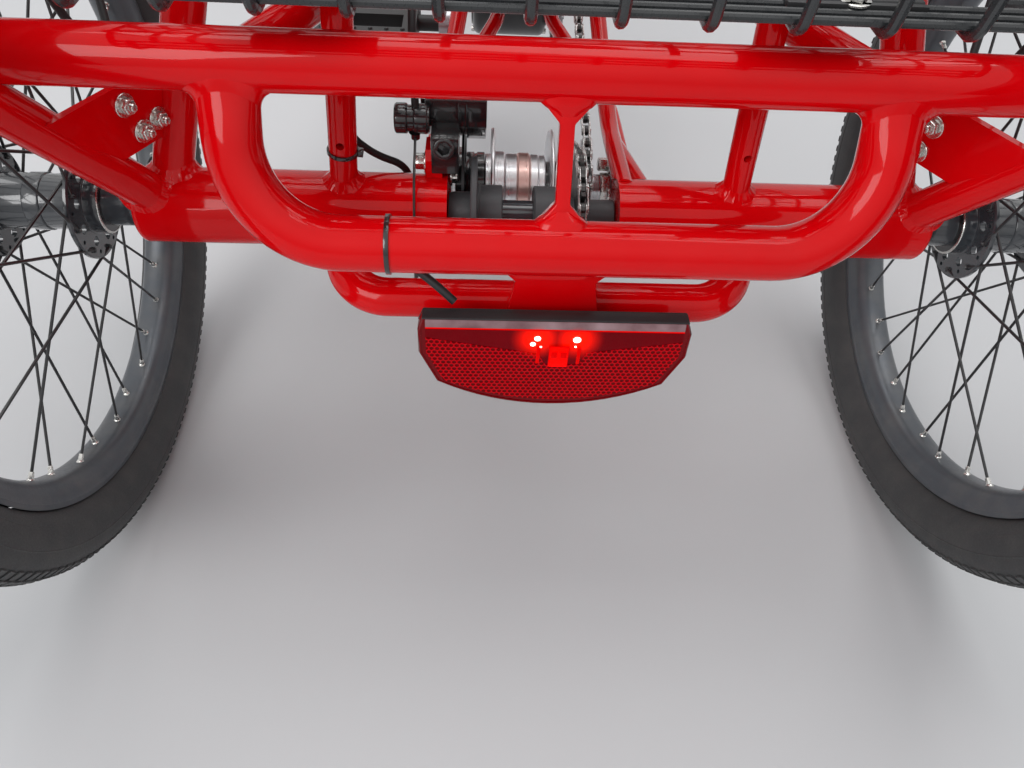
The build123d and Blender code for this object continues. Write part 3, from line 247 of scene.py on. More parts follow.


# Geometry Nodes: one shape copied onto points


def copies_tree():
    tree = bpy.data.node_groups.get("Copies On Points")
    if tree:
        return tree
    tree = bpy.data.node_groups.new("Copies On Points", "GeometryNodeTree")
    face = tree.interface
    face.new_socket("Points", in_out="INPUT", socket_type="NodeSocketGeometry")
    face.new_socket("Copy", in_out="INPUT", socket_type="NodeSocketObject")
    face.new_socket("Size", in_out="INPUT", socket_type="NodeSocketFloat")
    face.new_socket("Finish", in_out="INPUT", socket_type="NodeSocketMaterial")
    face.new_socket("Mesh", in_out="OUTPUT", socket_type="NodeSocketGeometry")
    new, link = tree.nodes.new, tree.links.new
    entry, leave = new("NodeGroupInput"), new("NodeGroupOutput")
    source = new("GeometryNodeObjectInfo")
    source.inputs["As Instance"].default_value = True
    turn = new("GeometryNodeInputNamedAttribute")
    turn.data_type = "FLOAT_VECTOR"
    turn.inputs["Name"].default_value = "turn"
    place = new("GeometryNodeInstanceOnPoints")
    real = new("GeometryNodeRealizeInstances")
    finish = new("GeometryNodeSetMaterial")
    link(entry.outputs["Points"], place.inputs["Points"])
    link(entry.outputs["Copy"], source.inputs["Object"])
    link(source.outputs["Geometry"], place.inputs["Instance"])
    link(turn.outputs["Attribute"], place.inputs["Rotation"])
    link(entry.outputs["Size"], place.inputs["Scale"])
    link(place.outputs["Instances"], real.inputs["Geometry"])
    link(real.outputs["Geometry"], finish.inputs["Geometry"])
    link(entry.outputs["Finish"], finish.inputs["Material"])
    link(finish.outputs["Geometry"], leave.inputs["Mesh"])
    return tree


def copied(name, shape, places, look, sharp=35, bevel=0.0):
    """A mesh with one copy of a shape at each (point, matrix) place."""
    source_mesh = bpy.data.meshes.new(name + "_copy")
    source_mesh.from_pydata([point * MM for point in shape.points], [], shape.faces)
    settle(source_mesh, sharp)
    source = put(name + "_copy", source_mesh)
    if bevel:
        edge = source.modifiers.new("edges", "BEVEL")
        edge.width = bevel * MM
        edge.segments = 1
        edge.limit_method = "ANGLE"
        source.data = baked(source)
        source.modifiers.clear()
        settle(source.data, sharp)
    points = bpy.data.meshes.new(name)
    points.from_pydata([point * MM for point, turn in places], [], [])
    turns = points.attributes.new("turn", "FLOAT_VECTOR", "POINT")
    for i, (point, turn) in enumerate(places):
        turns.data[i].vector = turn.to_euler("XYZ")
    thing = put(name, points)
    grow = thing.modifiers.new("copies", "NODES")
    grow.node_group = copies_tree()
    for item in grow.node_group.interface.items_tree:
        if item.in_out == "INPUT" and item.name == "Copy":
            grow[item.identifier] = source
        if item.in_out == "INPUT" and item.name == "Size":
            grow[item.identifier] = 1.0
        if item.in_out == "INPUT" and item.name == "Finish":
            grow[item.identifier] = FINISHES[look]
    mesh = baked(thing)
    bpy.data.objects.remove(thing)
    bpy.data.objects.remove(source)
    mesh.name = name
    return mesh


def copies(name, shape, places, look, body, slot, **how):
    """A piece made of copies of one shape."""
    return fit(put(name, copied(name, shape, places, look, **how)), body)


def facing(way, roll=X):
    """The turn that lays Z along way, with X as near roll as it can be."""
    up = Vector(way).normalized()
    side = Vector(roll) - up * up.dot(roll)
    if side.length < 1e-4:
        side = across(up)[0]
    side.normalize()
    return Matrix((side, up.cross(side), up)).transposed()


# Shader groups shared by the finishes


def feed(tree, socket, given):
    """Link a socket to another's output or give it a value; None leaves it alone."""
    if isinstance(given, bpy.types.NodeSocket):
        tree.links.new(given, socket)
    elif given is not None:
        socket.default_value = given


def fed(tree, kind, out, **inputs):
    """One output of a new node whose inputs are named, with a space for each underscore."""
    node = tree.nodes.new("ShaderNode" + kind)
    for label, given in inputs.items():
        feed(tree, node.inputs[label.replace("_", " ")], given)
    return node.outputs[out]


def worked(tree, operation, *inputs, kind="Math", out=0):
    """What a math node makes of its inputs."""
    node = tree.nodes.new("ShaderNode" + kind)
    node.operation = operation
    for socket, given in zip(node.inputs, inputs):
        feed(tree, socket, given)
    return node.outputs[out]


def ranged(tree, value, start=0.0, end=1.0, low=0.0, high=1.0, form="LINEAR"):
    """A value that runs from start to end, spread from low to high."""
    spread = fed(tree, "MapRange", "Result", Value=value, From_Min=start, From_Max=end,
                 To_Min=low, To_Max=high)
    spread.node.interpolation_type = form
    return spread


def mixed(tree, share, base, other):
    """Two colours mixed in the share of a mask."""
    mix = tree.nodes.new("ShaderNodeMix")
    mix.data_type = "RGBA"
    for label, given in (("Factor", share), ("A", base), ("B", other)):
        feed(tree, mix.inputs[label], given)
    return mix.outputs["Result"]


def object_place(tree):
    return fed(tree, "TexCoord", "Object")


def shader_group(name, inputs, outputs):
    """A new group: its tree, what comes in and where its results go."""
    group = bpy.data.node_groups.new(name, "ShaderNodeTree")
    for label, kind, value in inputs:
        socket = group.interface.new_socket(label, in_out="INPUT", socket_type="NodeSocket" + kind)
        socket.default_value = value
    for label, kind in outputs:
        group.interface.new_socket(label, in_out="OUTPUT", socket_type="NodeSocket" + kind)
    entry, leave = group.nodes.new("NodeGroupInput"), group.nodes.new("NodeGroupOutput")
    return group, entry.outputs, leave.inputs


def relief_group(name, inputs, height_name, depth, height_of):
    """A group that gives a relief's height and the normal that it makes."""
    group, given, result = shader_group(
        name, inputs, [("Normal", "Vector"), (height_name, "Float")])
    height = height_of(group, given)
    normal = fed(group, "Bump", "Normal", Height=height, Strength=given["Strength"],
                 Distance=depth)
    feed(group, result["Normal"], normal)
    feed(group, result[height_name], height)
    return group


def drift_group():
    """A slow change between two colours."""
    group, given, result = shader_group(
        "Colour Drift",
        [("Colour", "Color", (0.5, 0.5, 0.5, 1)), ("Other", "Color", (0.4, 0.4, 0.4, 1)),
         ("Scale", "Float", 30.0)],
        [("Colour", "Color")])
    noise = fed(group, "TexNoise", "Fac", Vector=object_place(group), Scale=given["Scale"],
                Detail=4.0)
    feed(group, result["Colour"], mixed(group, noise, given["Colour"], given["Other"]))
    return group


def grain_group():
    """Fine bumps over a surface."""
    return relief_group(
        "Surface Grain", [("Scale", "Float", 400.0), ("Strength", "Float", 0.2)], "Height", 0.0002,
        lambda group, given: fed(group, "TexNoise", "Fac", Vector=object_place(group),
                                 Scale=given["Scale"], Detail=6.0))


def dust_group():
    """Where road dust settles: in patches, and more of it low down."""
    group, given, result = shader_group(
        "Road Dust",
        [("Scale", "Float", 18.0), ("Amount", "Float", 0.3), ("Top", "Float", 0.5)],
        [("Mask", "Float")])
    place = object_place(group)
    noise = fed(group, "TexNoise", "Fac", Vector=place, Scale=given["Scale"], Detail=9.0)
    low = worked(group, "DIVIDE", fed(group, "SeparateXYZ", "Z", Vector=place), given["Top"])
    patch = ranged(group, noise, 0.42, 0.72)
    both = worked(group, "MULTIPLY", patch, ranged(group, low, low=1.0, high=0.25))
    share = worked(group, "MULTIPLY", both, given["Amount"])
    share.node.use_clamp = True
    feed(group, result["Mask"], share)
    return group


def brushed_group():
    """Fine lines left by turning or brushing along one axis."""
    return relief_group(
        "Brushed Lines",
        [("Stretch", "Vector", (900.0, 12.0, 12.0)), ("Strength", "Float", 0.15)], "Lines", 0.0002,
        lambda group, given: fed(
            group, "TexNoise", "Fac", Scale=1.0, Detail=4.0,
            Vector=worked(group, "MULTIPLY", object_place(group), given["Stretch"],
                          kind="VectorMath")))


def cells_group():
    """Leather-like cells with creases between them."""

    def cells(group, given):
        creases = fed(group, "TexVoronoi", "Distance", Vector=object_place(group),
                      Scale=given["Scale"])
        creases.node.feature = "DISTANCE_TO_EDGE"
        return ranged(group, creases, end=0.25)

    return relief_group(
        "Leather Cells", [("Scale", "Float", 350.0), ("Strength", "Float", 0.35)], "Cells", 0.0004,
        cells)


def hexagon_group():
    """Heights of small hexagonal prisms in the X and Z of the object."""
    row = sqrt(3) / 2

    def prisms(group, given):
        place = object_place(group)
        flat = fed(group, "CombineXYZ", "Vector", X=fed(group, "SeparateXYZ", "X", Vector=place),
                   Y=fed(group, "SeparateXYZ", "Z", Vector=place))
        scaled = worked(group, "SCALE", flat, None, None,
                        worked(group, "DIVIDE", 1.0, given["Pitch"]), kind="VectorMath")

        def cell(offset):
            """The place inside the rectangular cell, from its middle."""
            at = worked(group, "ADD", scaled, offset, kind="VectorMath")
            at = worked(group, "WRAP", at, (0.5, row, 1.0), (-0.5, -row, -1.0), kind="VectorMath")
            at = worked(group, "ABSOLUTE", at, kind="VectorMath")
            slant = worked(group, "DOT_PRODUCT", at, (0.5, row, 0.0), kind="VectorMath", out=1)
            return worked(group, "MAXIMUM", slant, fed(group, "SeparateXYZ", "X", Vector=at))

        return worked(group, "MINIMUM", cell((0.0, 0.0, 0.0)), cell((0.5, row, 0.0)))

    return relief_group(
        "Hexagon Prisms", [("Pitch", "Float", 0.0032), ("Strength", "Float", 0.6)], "Height", 0.0012,
        prisms)


def halo_group():
    """How near a point is to either of the two lamps, from 0 to 1."""
    group, given, result = shader_group(
        "Lamp Halo",
        [("Left", "Vector", (0.0, 0.0, 0.0)), ("Right", "Vector", (0.0, 0.0, 0.0)),
         ("Reach", "Float", 0.02)],
        [("Mask", "Float")])
    place = object_place(group)
    left, right = (worked(group, "DISTANCE", place, given[side], kind="VectorMath", out=1)
                   for side in ("Left", "Right"))
    nearest = worked(group, "MINIMUM", left, right)
    feed(group, result["Mask"],
         ranged(group, nearest, end=given["Reach"], low=1.0, high=0.0, form="SMOOTHSTEP"))
    return group


GROUPS = {}
FINISHES = {}
LED_LEFT = rear(-5.6, -118.0, -7.0)
LED_RIGHT = rear(18.4, -118.0, -7.0)
LED_GLOW = (1.0, 0.004, 0.0, 1)
LIT_LENS = (1.0, 0.01, 0.0, 1)
DUST_COLOUR = (0.30, 0.27, 0.23, 1)
# Each surface's group, with the input that sets its scale and the output that gives its height
SURFACES = {
    "grain": ("Scale", "Height"), "brushed": ("Stretch", "Lines"), "cells": ("Scale", "Cells"),
    "hexagons": ("Pitch", "Height"),
}


def group_node(tree, name, **values):
    node = tree.nodes.new("ShaderNodeGroup")
    node.node_tree = GROUPS[name]
    for key, value in values.items():
        node.inputs[key].default_value = value
    return node


def finish(name, colour, other, rough, metal=0.0, coat=0.0, grain=(400, 0.1), dust=0.0, drift=30,
           specular=0.5, surface="grain", sheen=0.0, dust_scale=18, glow=0.0, edge=None, halo=0.0,
           coat_ior=1.5):
    """A finish with colour drift, changing roughness, fine relief and dust.

    Grain is the scale of its surface and the strength of its relief. Edge is the colour that the
    relief's high places take, a painted highlight, and the heights between which they take it.
    """
    made = bpy.data.materials.new(name)
    made.use_nodes = True
    tree = made.node_tree
    shader = tree.nodes["Principled BSDF"]
    for label, value in (("Metallic", metal), ("Coat Weight", coat), ("Coat Roughness", 0.04),
                         ("Coat IOR", coat_ior), ("Specular IOR Level", specular),
                         ("Sheen Weight", sheen)):
        shader.inputs[label].default_value = value
    scale_name, height_name = SURFACES[surface]
    relief = group_node(tree, surface, **{scale_name: grain[0], "Strength": grain[1]})
    height = relief.outputs[height_name]
    feed(tree, shader.inputs["Normal"], relief.outputs["Normal"])
    base = group_node(tree, "drift", Colour=(*colour, 1), Other=(*other, 1),
                      Scale=drift).outputs["Colour"]
    # The relief's high places take the edge colour: a painted highlight.
    if edge:
        painted_highlight_colour, start, end = edge
        base = mixed(tree, ranged(tree, height, start, end), base, (*painted_highlight_colour, 1))
    if dust:
        mask = group_node(tree, "dust", Amount=dust, Scale=dust_scale)
        base = mixed(tree, mask.outputs["Mask"], base, DUST_COLOUR)
    if halo:
        near = group_node(tree, "halo", Left=LED_LEFT * MM, Right=LED_RIGHT * MM,
                          Reach=halo * MM).outputs["Mask"]
        base = mixed(tree, near, base, LIT_LENS)
        feed(tree, shader.inputs["Emission Strength"], worked(tree, "MULTIPLY", near, 0.9))
        shader.inputs["Emission Color"].default_value = LED_GLOW
    feed(tree, shader.inputs["Base Color"], base)
    feed(tree, shader.inputs["Roughness"], ranged(tree, height, 0.3, 0.7, *rough))
    if glow:
        shader.inputs["Emission Strength"].default_value = glow
        feed(tree, shader.inputs["Emission Color"], base)
    FINISHES[name] = made


class FinishSettings(bpy.types.PropertyGroup):
    """Colours of the main finishes."""

    paint: bpy.props.FloatVectorProperty(
        name="Frame paint", description="Colour of the frame's gloss paint", subtype="COLOR",
        size=3, min=0, max=1, default=(0.78, 0.0, 0.003))
    paint_deep: bpy.props.FloatVectorProperty(
        name="Deep paint", description="Second colour that the paint drifts to", subtype="COLOR",
        size=3, min=0, max=1, default=(0.66, 0.0, 0.002))
    black: bpy.props.FloatVectorProperty(
        name="Black metal", description="Colour of the black coated metal", subtype="COLOR",
        size=3, min=0, max=1, default=(0.012, 0.012, 0.014))
    rubber: bpy.props.FloatVectorProperty(
        name="Rubber", description="Colour of the tyres", subtype="COLOR",
        size=3, min=0, max=1, default=(0.03, 0.03, 0.032))
    dust: bpy.props.FloatProperty(
        name="Dust", description="Share of the wheels that road dust covers", subtype="FACTOR",
        min=0, max=1, default=0.35)


CAD_FINISH = {
    "frame_paint": "paint", "black_metal": "black", "tyre_rubber": "rubber",
    "black_plastic": "plastic", "bright_steel": "steel", "hub_alloy": "cast_alloy",
    "basket_wire": "coated_wire", "red_lens": "lens", "saddle_cover": "cover",
    "grip_rubber": "grip",
}


BRUSHED = (900.0, 12.0, 12.0)


class TRIKE_OT_finishes(bpy.types.Operator):
    """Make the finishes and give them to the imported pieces"""

    bl_idname = "trike.finishes"
    bl_label = "Finishes"

    def execute(self, context):
        s = context.scene.trike_finish
        GROUPS.update(drift=drift_group(), grain=grain_group(), dust=dust_group(),
                      brushed=brushed_group(), cells=cells_group(), hexagons=hexagon_group(),
                      halo=halo_group())
        finish("paint", s.paint, s.paint_deep, rough=(0.2, 0.28), coat=1.0, coat_ior=1.3,
               specular=0.02, grain=(700, 0.02), drift=14, dust=0.02, dust_scale=40)
        finish("black", s.black, (0.02, 0.02, 0.022), rough=(0.28, 0.4), coat=0.2,
               grain=(900, 0.08), dust=0.04, dust_scale=60)
        finish("gloss_black", (0.01, 0.01, 0.012), (0.018, 0.018, 0.02), rough=(0.15, 0.25),
               coat=0.5, grain=(600, 0.04), dust=0.08, dust_scale=50)
        finish("rim", (0.075, 0.083, 0.095), (0.10, 0.108, 0.12), rough=(0.3, 0.42), metal=0.45,
               grain=(500, 0.06), dust=s.dust * 0.5, dust_scale=45)
        finish("hub_shell", (0.026, 0.03, 0.036), (0.04, 0.045, 0.052), rough=(0.14, 0.24), coat=0.8,
               grain=(700, 0.03), dust=0.04, dust_scale=50)
        finish("rotor", (0.07, 0.072, 0.075), (0.05, 0.05, 0.052), rough=(0.25, 0.4), metal=0.8,
               surface="brushed", grain=((40.0, 900.0, 900.0), 0.1))
        finish("sleeve", (0.045, 0.048, 0.052), (0.06, 0.062, 0.066), rough=(0.45, 0.6),
               grain=(900, 0.15))
        # A pinkish metal band on the gear hub's drum: a painted reflection of the red frame.
        finish("anodised", (0.80, 0.52, 0.46), (0.72, 0.5, 0.46), rough=(0.26, 0.38), metal=0.9,
               surface="brushed", grain=(BRUSHED, 0.08))
        finish("rubber", s.rubber, (0.042, 0.042, 0.042), rough=(0.5, 0.66),
               grain=(800, 0.25), dust=s.dust * 0.15, dust_scale=60)
        finish("plastic", (0.015, 0.015, 0.016), (0.024, 0.024, 0.026), rough=(0.42, 0.56),
               grain=(1400, 0.25), dust=0.05, specular=0.4)
        finish("steel", (0.52, 0.52, 0.53), (0.40, 0.40, 0.41), rough=(0.22, 0.36), metal=1.0,
               surface="brushed", grain=(BRUSHED, 0.1))
        finish("alloy", (0.80, 0.80, 0.81), (0.68, 0.68, 0.70), rough=(0.26, 0.38), metal=1.0,
               surface="brushed", grain=(BRUSHED, 0.08))
        finish("cast_alloy", (0.46, 0.46, 0.48), (0.38, 0.38, 0.40), rough=(0.28, 0.4), metal=1.0,
               surface="brushed", grain=(BRUSHED, 0.08))
        finish("silver", (0.78, 0.77, 0.74), (0.60, 0.59, 0.56), rough=(0.2, 0.32), metal=1.0,
               grain=(900, 0.08))
        finish("coated_wire", (0.014, 0.016, 0.018), (0.022, 0.024, 0.026), rough=(0.24, 0.34),
               coat=0.35, grain=(500, 0.10), dust=0.05)
        finish("cover", (0.022, 0.022, 0.024), (0.034, 0.033, 0.034), rough=(0.5, 0.64),
               surface="cells", grain=(420, 0.45), sheen=0.1)
        finish("stitch", (0.30, 0.30, 0.30), (0.22, 0.22, 0.22), rough=(0.6, 0.8),
               grain=(1500, 0.4))
        finish("grip", (0.02, 0.02, 0.022), (0.034, 0.034, 0.036), rough=(0.6, 0.75),
               surface="cells", grain=(500, 0.4))
        pitch = context.scene.trike_lamp.prism_pitch
        # The prisms' high edges take a lighter red: a painted highlight.
        finish("lens", (0.18, 0.0, 0.001), (0.11, 0.0, 0.001), rough=(0.12, 0.2), coat=0.04,
               surface="hexagons", grain=(pitch, 0.8), drift=40, halo=17.0, specular=0.03,
               edge=((0.66, 0.0, 0.006), 0.30, 0.46))
        finish("lens_ribs", (0.22, 0.0, 0.004), (0.12, 0.0, 0.002), rough=(0.12, 0.24), coat=0.06,
               surface="brushed", grain=((950.0, 4.0, 4.0), 0.9), drift=40, halo=18.0,
               specular=0.04)
        finish("lens_rim", (0.2, 0.0, 0.003), (0.14, 0.0, 0.002), rough=(0.05, 0.12),
               coat=0.15, grain=(300, 0.03), specular=0.08)
        # The plates and block behind the lens and the lens's red line are no lamps: these two finishes
        # paint a glow on them.
        finish("led", (1.0, 0.002, 0.0), (0.9, 0.0, 0.0), rough=(0.2, 0.3), glow=0.9,
               grain=(900, 0.1), specular=0.03)
        finish("led_dim", (0.7, 0.0, 0.0), (0.6, 0.0, 0.0), rough=(0.2, 0.3), glow=0.4,
               grain=(900, 0.1), specular=0.03)
        finish("led_core", (1.0, 0.86, 0.72), (1.0, 0.8, 0.65), rough=(0.2, 0.3), glow=3.0,
               grain=(900, 0.1))
        finish("clear", (0.07, 0.001, 0.004), (0.5, 0.34, 0.36), rough=(0.1, 0.2), coat=0.15,
               surface="brushed", grain=((350.0, 4.0, 4.0), 0.3), drift=60, halo=11.0,
               specular=0.12)
        finish("glass", (0.012, 0.014, 0.018), (0.02, 0.022, 0.026), rough=(0.05, 0.09), coat=1.0,
               grain=(120, 0.01))
        finish("lamp_glass", (0.62, 0.64, 0.66), (0.5, 0.52, 0.54), rough=(0.05, 0.1), coat=1.0,
               surface="hexagons", grain=(0.004, 0.35))
        finish("amber", (0.75, 0.22, 0.01), (0.6, 0.16, 0.008), rough=(0.1, 0.2), coat=1.0,
               surface="hexagons", grain=(0.003, 0.7))
        finish("chain", (0.62, 0.61, 0.60), (0.42, 0.41, 0.40), rough=(0.2, 0.38), metal=1.0,
               grain=(700, 0.12))
        finish("dark_steel", (0.06, 0.06, 0.062), (0.09, 0.088, 0.085), rough=(0.3, 0.45),
               metal=0.9, grain=(700, 0.12))
        for part in FRAME["record"]["subparts"]:
            given = FINISHES[CAD_FINISH[part["material_slot"]]]
            node = FRAME["nodes"][part["node"]]
            for slot in node.material_slots:
                slot.material = given
        return {"FINISHED"}


# Wheels

FLANGE_R = 38.0
SPOKE_CIRCLE_R = 33.0
NIPPLE_CIRCLE_R = 188.0
TREAD_R = 252.0
WHEELS = [
    # body, centre, flange spacing, hub's left end, hub's right end, turn of the spokes
    ("left_wheel", LEFT_WHEEL, 32.0, -49.0, 65.4, 7.0),
    ("right_wheel", RIGHT_WHEEL, 32.0, -65.4, 49.0, 5.0),
    ("front_wheel", FRONT_WHEEL, 27.0, -45.9, 45.9, 0.0),
]


class WheelSettings(bpy.types.PropertyGroup):
    """Sizes of what the wheels carry."""

    spokes: bpy.props.IntProperty(
        name="Spokes", description="Number of spokes in a wheel", min=12, max=48, default=36)
    spoke_thickness: bpy.props.FloatProperty(
        name="Spoke thickness", description="Diameter of a spoke", subtype="DISTANCE",
        unit="LENGTH", min=0.0005, max=0.004, default=0.0021)
    nipple_length: bpy.props.FloatProperty(
        name="Nipple length", description="Length of a spoke nipple", subtype="DISTANCE",
        unit="LENGTH", min=0.004, max=0.02, default=0.006)
    lug_pitch: bpy.props.FloatProperty(
        name="Lug pitch", description="Spacing of the tread's lugs round the tyre",
        subtype="DISTANCE", unit="LENGTH", min=0.005, max=0.03, default=0.0096)


def spoke_lines(flange, count, phase):
    """Start and end of each spoke from a wheel's centre."""
    lines = []
    for number in range(count):
        side = 1 if number % 2 else -1
        outer = (number // 2) % 2
        angle = 2 * pi * number / count + radians(phase)
        lead = angle + radians(60 if outer else -60)
        start = Vector((side * (flange + (2.2 if outer else -2.2)),
                        SPOKE_CIRCLE_R * cos(lead), SPOKE_CIRCLE_R * sin(lead)))
        end = Vector((side * 2.0, NIPPLE_CIRCLE_R * cos(angle), NIPPLE_CIRCLE_R * sin(angle)))
        lines.append((start, end))
    return lines


def tyre(body, centre, settings):
    side = [(15.6, 207.4), (19.5, 210.5), (23.6, 214.0), (26.4, 221.0), (27.6, 229.5),
            (27.4, 236.5), (25.8, 242.2), (24.9, 243.6), (24.2, 244.2), (20.0, 248.3),
            (14.0, 250.4), (7.0, 251.6), (2.2, 251.8)]
    profile = side + [(-x, r) for x, r in reversed(side)]
    shape = Shape()
    turned(shape, profile, centre, sides=120, closed=True)
    # Two thin ridges on each wall
    for x, r in ((25.0, 217.4), (27.9, 232.4)):
        for end in (-1, 1):
            turned(shape, [(end * (x - 0.8), r - 1.4), (end * (x + 0.1), r), (end * (x - 0.8), r + 1.4)],
                   centre, sides=96, closed=True)
    name = body.replace("_wheel", "_tyre")
    piece(name + "_carcass", shape, ["rubber"], body, sharp=50, instead=[name])
    lug = Shape()
    slab(lug, [(-3.2, -2.9), (3.4, -3.5), (4.0, 2.9), (-2.6, 3.5)], Vector((0, 0, 0)), X, Y,
         -2.6, 0.9)
    shoulder = Shape()
    slab(shoulder, [(-3.8, -3.1), (3.6, -2.6), (3.6, 2.6), (-3.8, 3.1)], Vector((0, 0, 0)), X, Y,
         -2.2, 0.4)
    count = int(2 * pi * TREAD_R / (settings.lug_pitch / MM))
    rows = []
    for row, (x, r, lean, shape_of) in enumerate((
            (7.8, 252.3, 4, lug), (15.4, 250.6, 14, lug), (22.4, 246.8, 36, shoulder))):
        places = []
        for end in (-1, 1):
            for i in range(count):
                a = 2 * pi * (i + 0.5 * (row % 2) + 0.25 * (end < 0)) / count
                out = Vector((0, cos(a), sin(a)))
                way = out * cos(radians(lean)) + X * end * sin(radians(lean))
                places.append((centre + X * end * x + out * r, facing(way, X * end)))
        rows.append(copied(f"{name}_row{row}", shape_of, places, "rubber", sharp=30))
    ridge = Shape()
    turned(ridge, [(-2.4, 250.6), (-2.1, 253.2), (2.1, 253.2), (2.4, 250.6)], centre, sides=120,
           closed=True)
    tread = piece(name + "_tread", ridge, ["rubber"], body)
    work = bmesh.new()
    work.from_mesh(tread.data)
    for mesh in rows:
        work.from_mesh(mesh)
        bpy.data.meshes.remove(mesh)
    work.to_mesh(tread.data)
    work.free()


def rim(body, centre):
    side = [(17.0, 207.0), (17.0, 203.6), (16.1, 202.6), (15.6, 199.0), (14.2, 195.2),
            (11.6, 191.6), (8.2, 189.2), (4.2, 188.1)]
    inner = [(3.8, 190.4), (15.2, 199.8), (15.4, 206.6)]
    profile = side + [(-x, r) for x, r in reversed(side)]
    back = [(-x, r) for x, r in reversed(inner)] + inner
    shape = Shape()
    turned(shape, profile + back, centre, sides=120, closed=True)
    name = body.replace("_wheel", "_rim")
    piece(name + "_section", shape, ["rim"], body, sharp=40, instead=[name])


def hub(body, centre, flange, low, high, phase, count):
    """The hub's turned body, its drilled flanges, seals and collars."""
    shape = Shape()
    waist = 18.5
    turned(shape, [(low, 12.0), (low, 14.6), (low + 8 * (low < -60), 15.0), (-flange - 11, 15.0),
                   (-flange - 11, 19.4), (-flange - 5, 20.0), (-flange - 2, 20.0),
                   (-flange - 2, waist + 3), (-flange + 5, waist + 0.6), (-flange + 6, waist),
                   (flange - 6, waist), (flange - 5, waist + 0.6), (flange + 2, waist + 3),
                   (flange + 2, 20.0), (flange + 5, 20.0), (flange + 11, 19.4), (flange + 11, 15.0),
                   (high - 8 * (high > 60), 15.0), (high, 14.6), (high, 12.0)],
           centre, sides=48)
    turned(shape, [(-6, waist - 0.6), (-5, waist + 0.8), (5, waist + 0.8), (6, waist - 0.6)], centre,
           sides=48)
    name = body.replace("_wheel", "_hub")
    piece(name + "_body", shape, ["hub_shell"], body, bevel=0.4, instead=[name])
    discs, holes = Shape(), Shape()
    for end in (-1, 1):
        turned(discs, [(end * flange - 1.7, 16.0), (end * flange - 1.7, FLANGE_R - 1),
                       (end * flange - 0.9, FLANGE_R), (end * flange + 0.9, FLANGE_R),
                       (end * flange + 1.7, FLANGE_R - 1), (end * flange + 1.7, 16.0)], centre,
               sides=72)
        for number in range(count):
            if (number % 2) == (end > 0):
                lead = radians(60 if (number // 2) % 2 else -60)
                a = 2 * pi * number / count + radians(phase) + lead
                spot = centre + X * end * flange + Vector((0, cos(a), sin(a))) * SPOKE_CIRCLE_R
                turned(holes, [(-4, 1.5), (4, 1.5)], spot, sides=10)
        for i in range(9):
            a = 2 * pi * (i + 0.5) / 9 + radians(phase)
            spot = centre + X * end * flange + Vector((0, cos(a), sin(a))) * 26.0
            turned(holes, [(-4, 3.4), (4, 3.4)], spot, sides=16)
    drilled(name + "_flanges", discs, holes, "hub_shell", body)
    seals = Shape()
    for end in (-1, 1):
        at = end * (flange + 11.4)
        turned(seals, [(at - 0.7, 19.2), (at - 0.5, 20.3), (at, 20.7), (at + 0.5, 20.3),
                       (at + 0.7, 19.2)], centre, sides=56, closed=True)
        turned(seals, [(at - 0.6, 12.0), (at - 0.6, 19.3), (at + 0.3, 19.3), (at + 0.3, 12.0)],
               centre, sides=56, mark=1, closed=True)
    piece(name + "_seal_rings", seals, ["silver", "gloss_black"], body)


def drilled(name, solid, holes, look, body, instead=()):
    """A plate with its holes cut through."""
    cut_mesh = bpy.data.meshes.new(name + "_holes")
    cut_mesh.from_pydata([point * MM for point in holes.points], [], holes.faces)
    settle(cut_mesh)
    cutter = put(name + "_holes", cut_mesh)
    mesh = bpy.data.meshes.new(name)
    mesh.from_pydata([point * MM for point in solid.points], [], solid.faces)
    settle(mesh)
    thing = put(name, mesh)
    cut = thing.modifiers.new("holes", "BOOLEAN")
    cut.operation = "DIFFERENCE"
    cut.solver = "EXACT"
    cut.object = cutter
    thing.data = baked(thing)
    thing.modifiers.clear()
    bpy.data.objects.remove(cutter)
    thing.data.materials.clear()
    thing.data.materials.append(FINISHES[look])
    thing.data.shade_smooth()
    thing.data.set_sharp_from_angle(angle=radians(35))
    return fit(thing, body, instead)


def spokes(body, centre, flange, phase, settings):
    """Crossed spokes with heads at the flange and nipples at the rim."""
    name = body.replace("_wheel", "")
    lines = spoke_lines(flange, settings.spokes, phase)
    length = (lines[0][1] - lines[0][0]).length
    radius = settings.spoke_thickness / MM / 2
    wire = Shape()
    tube(wire, [Vector((0, 0, -0.6)), Vector((0, 0, length))], radius, sides=8)
    turned(wire, [(-1.7, 0.9), (-1.3, 1.9), (-0.5, 2.1), (0.2, 1.2)], Vector((0, 0, 0)), Z, sides=8)
    places = [(centre + start, facing(end - start)) for start, end in lines]
    copies(name + "_spokes", wire, places, "black", body, "black_metal")
    reach = settings.nipple_length / MM
    cap = Shape()
    turned(cap, [(-reach, 1.3), (-reach + 1.0, 1.75), (-1.2, 1.9), (-0.8, 2.4), (0.8, 2.9)],
           Vector((0, 0, 0)), Z, sides=8)
    places = [(centre + end, facing(end - start)) for start, end in lines]
    copies(name + "_nipples", cap, places, "silver", body, "bright_steel")
    stem = Shape()
    at = 2 * pi * (settings.spokes / 2 + 0.5) / settings.spokes + radians(phase)
    out = Vector((0, cos(at), sin(at)))
    turned(stem, [(0, 5.0), (2, 4.6), (2.6, 3.3), (20, 3.0), (20.4, 3.9), (31, 3.7), (32, 2.6)],
           centre + out * 189, -out, sides=16)
    piece(name + "_valve", stem, ["plastic"], body)


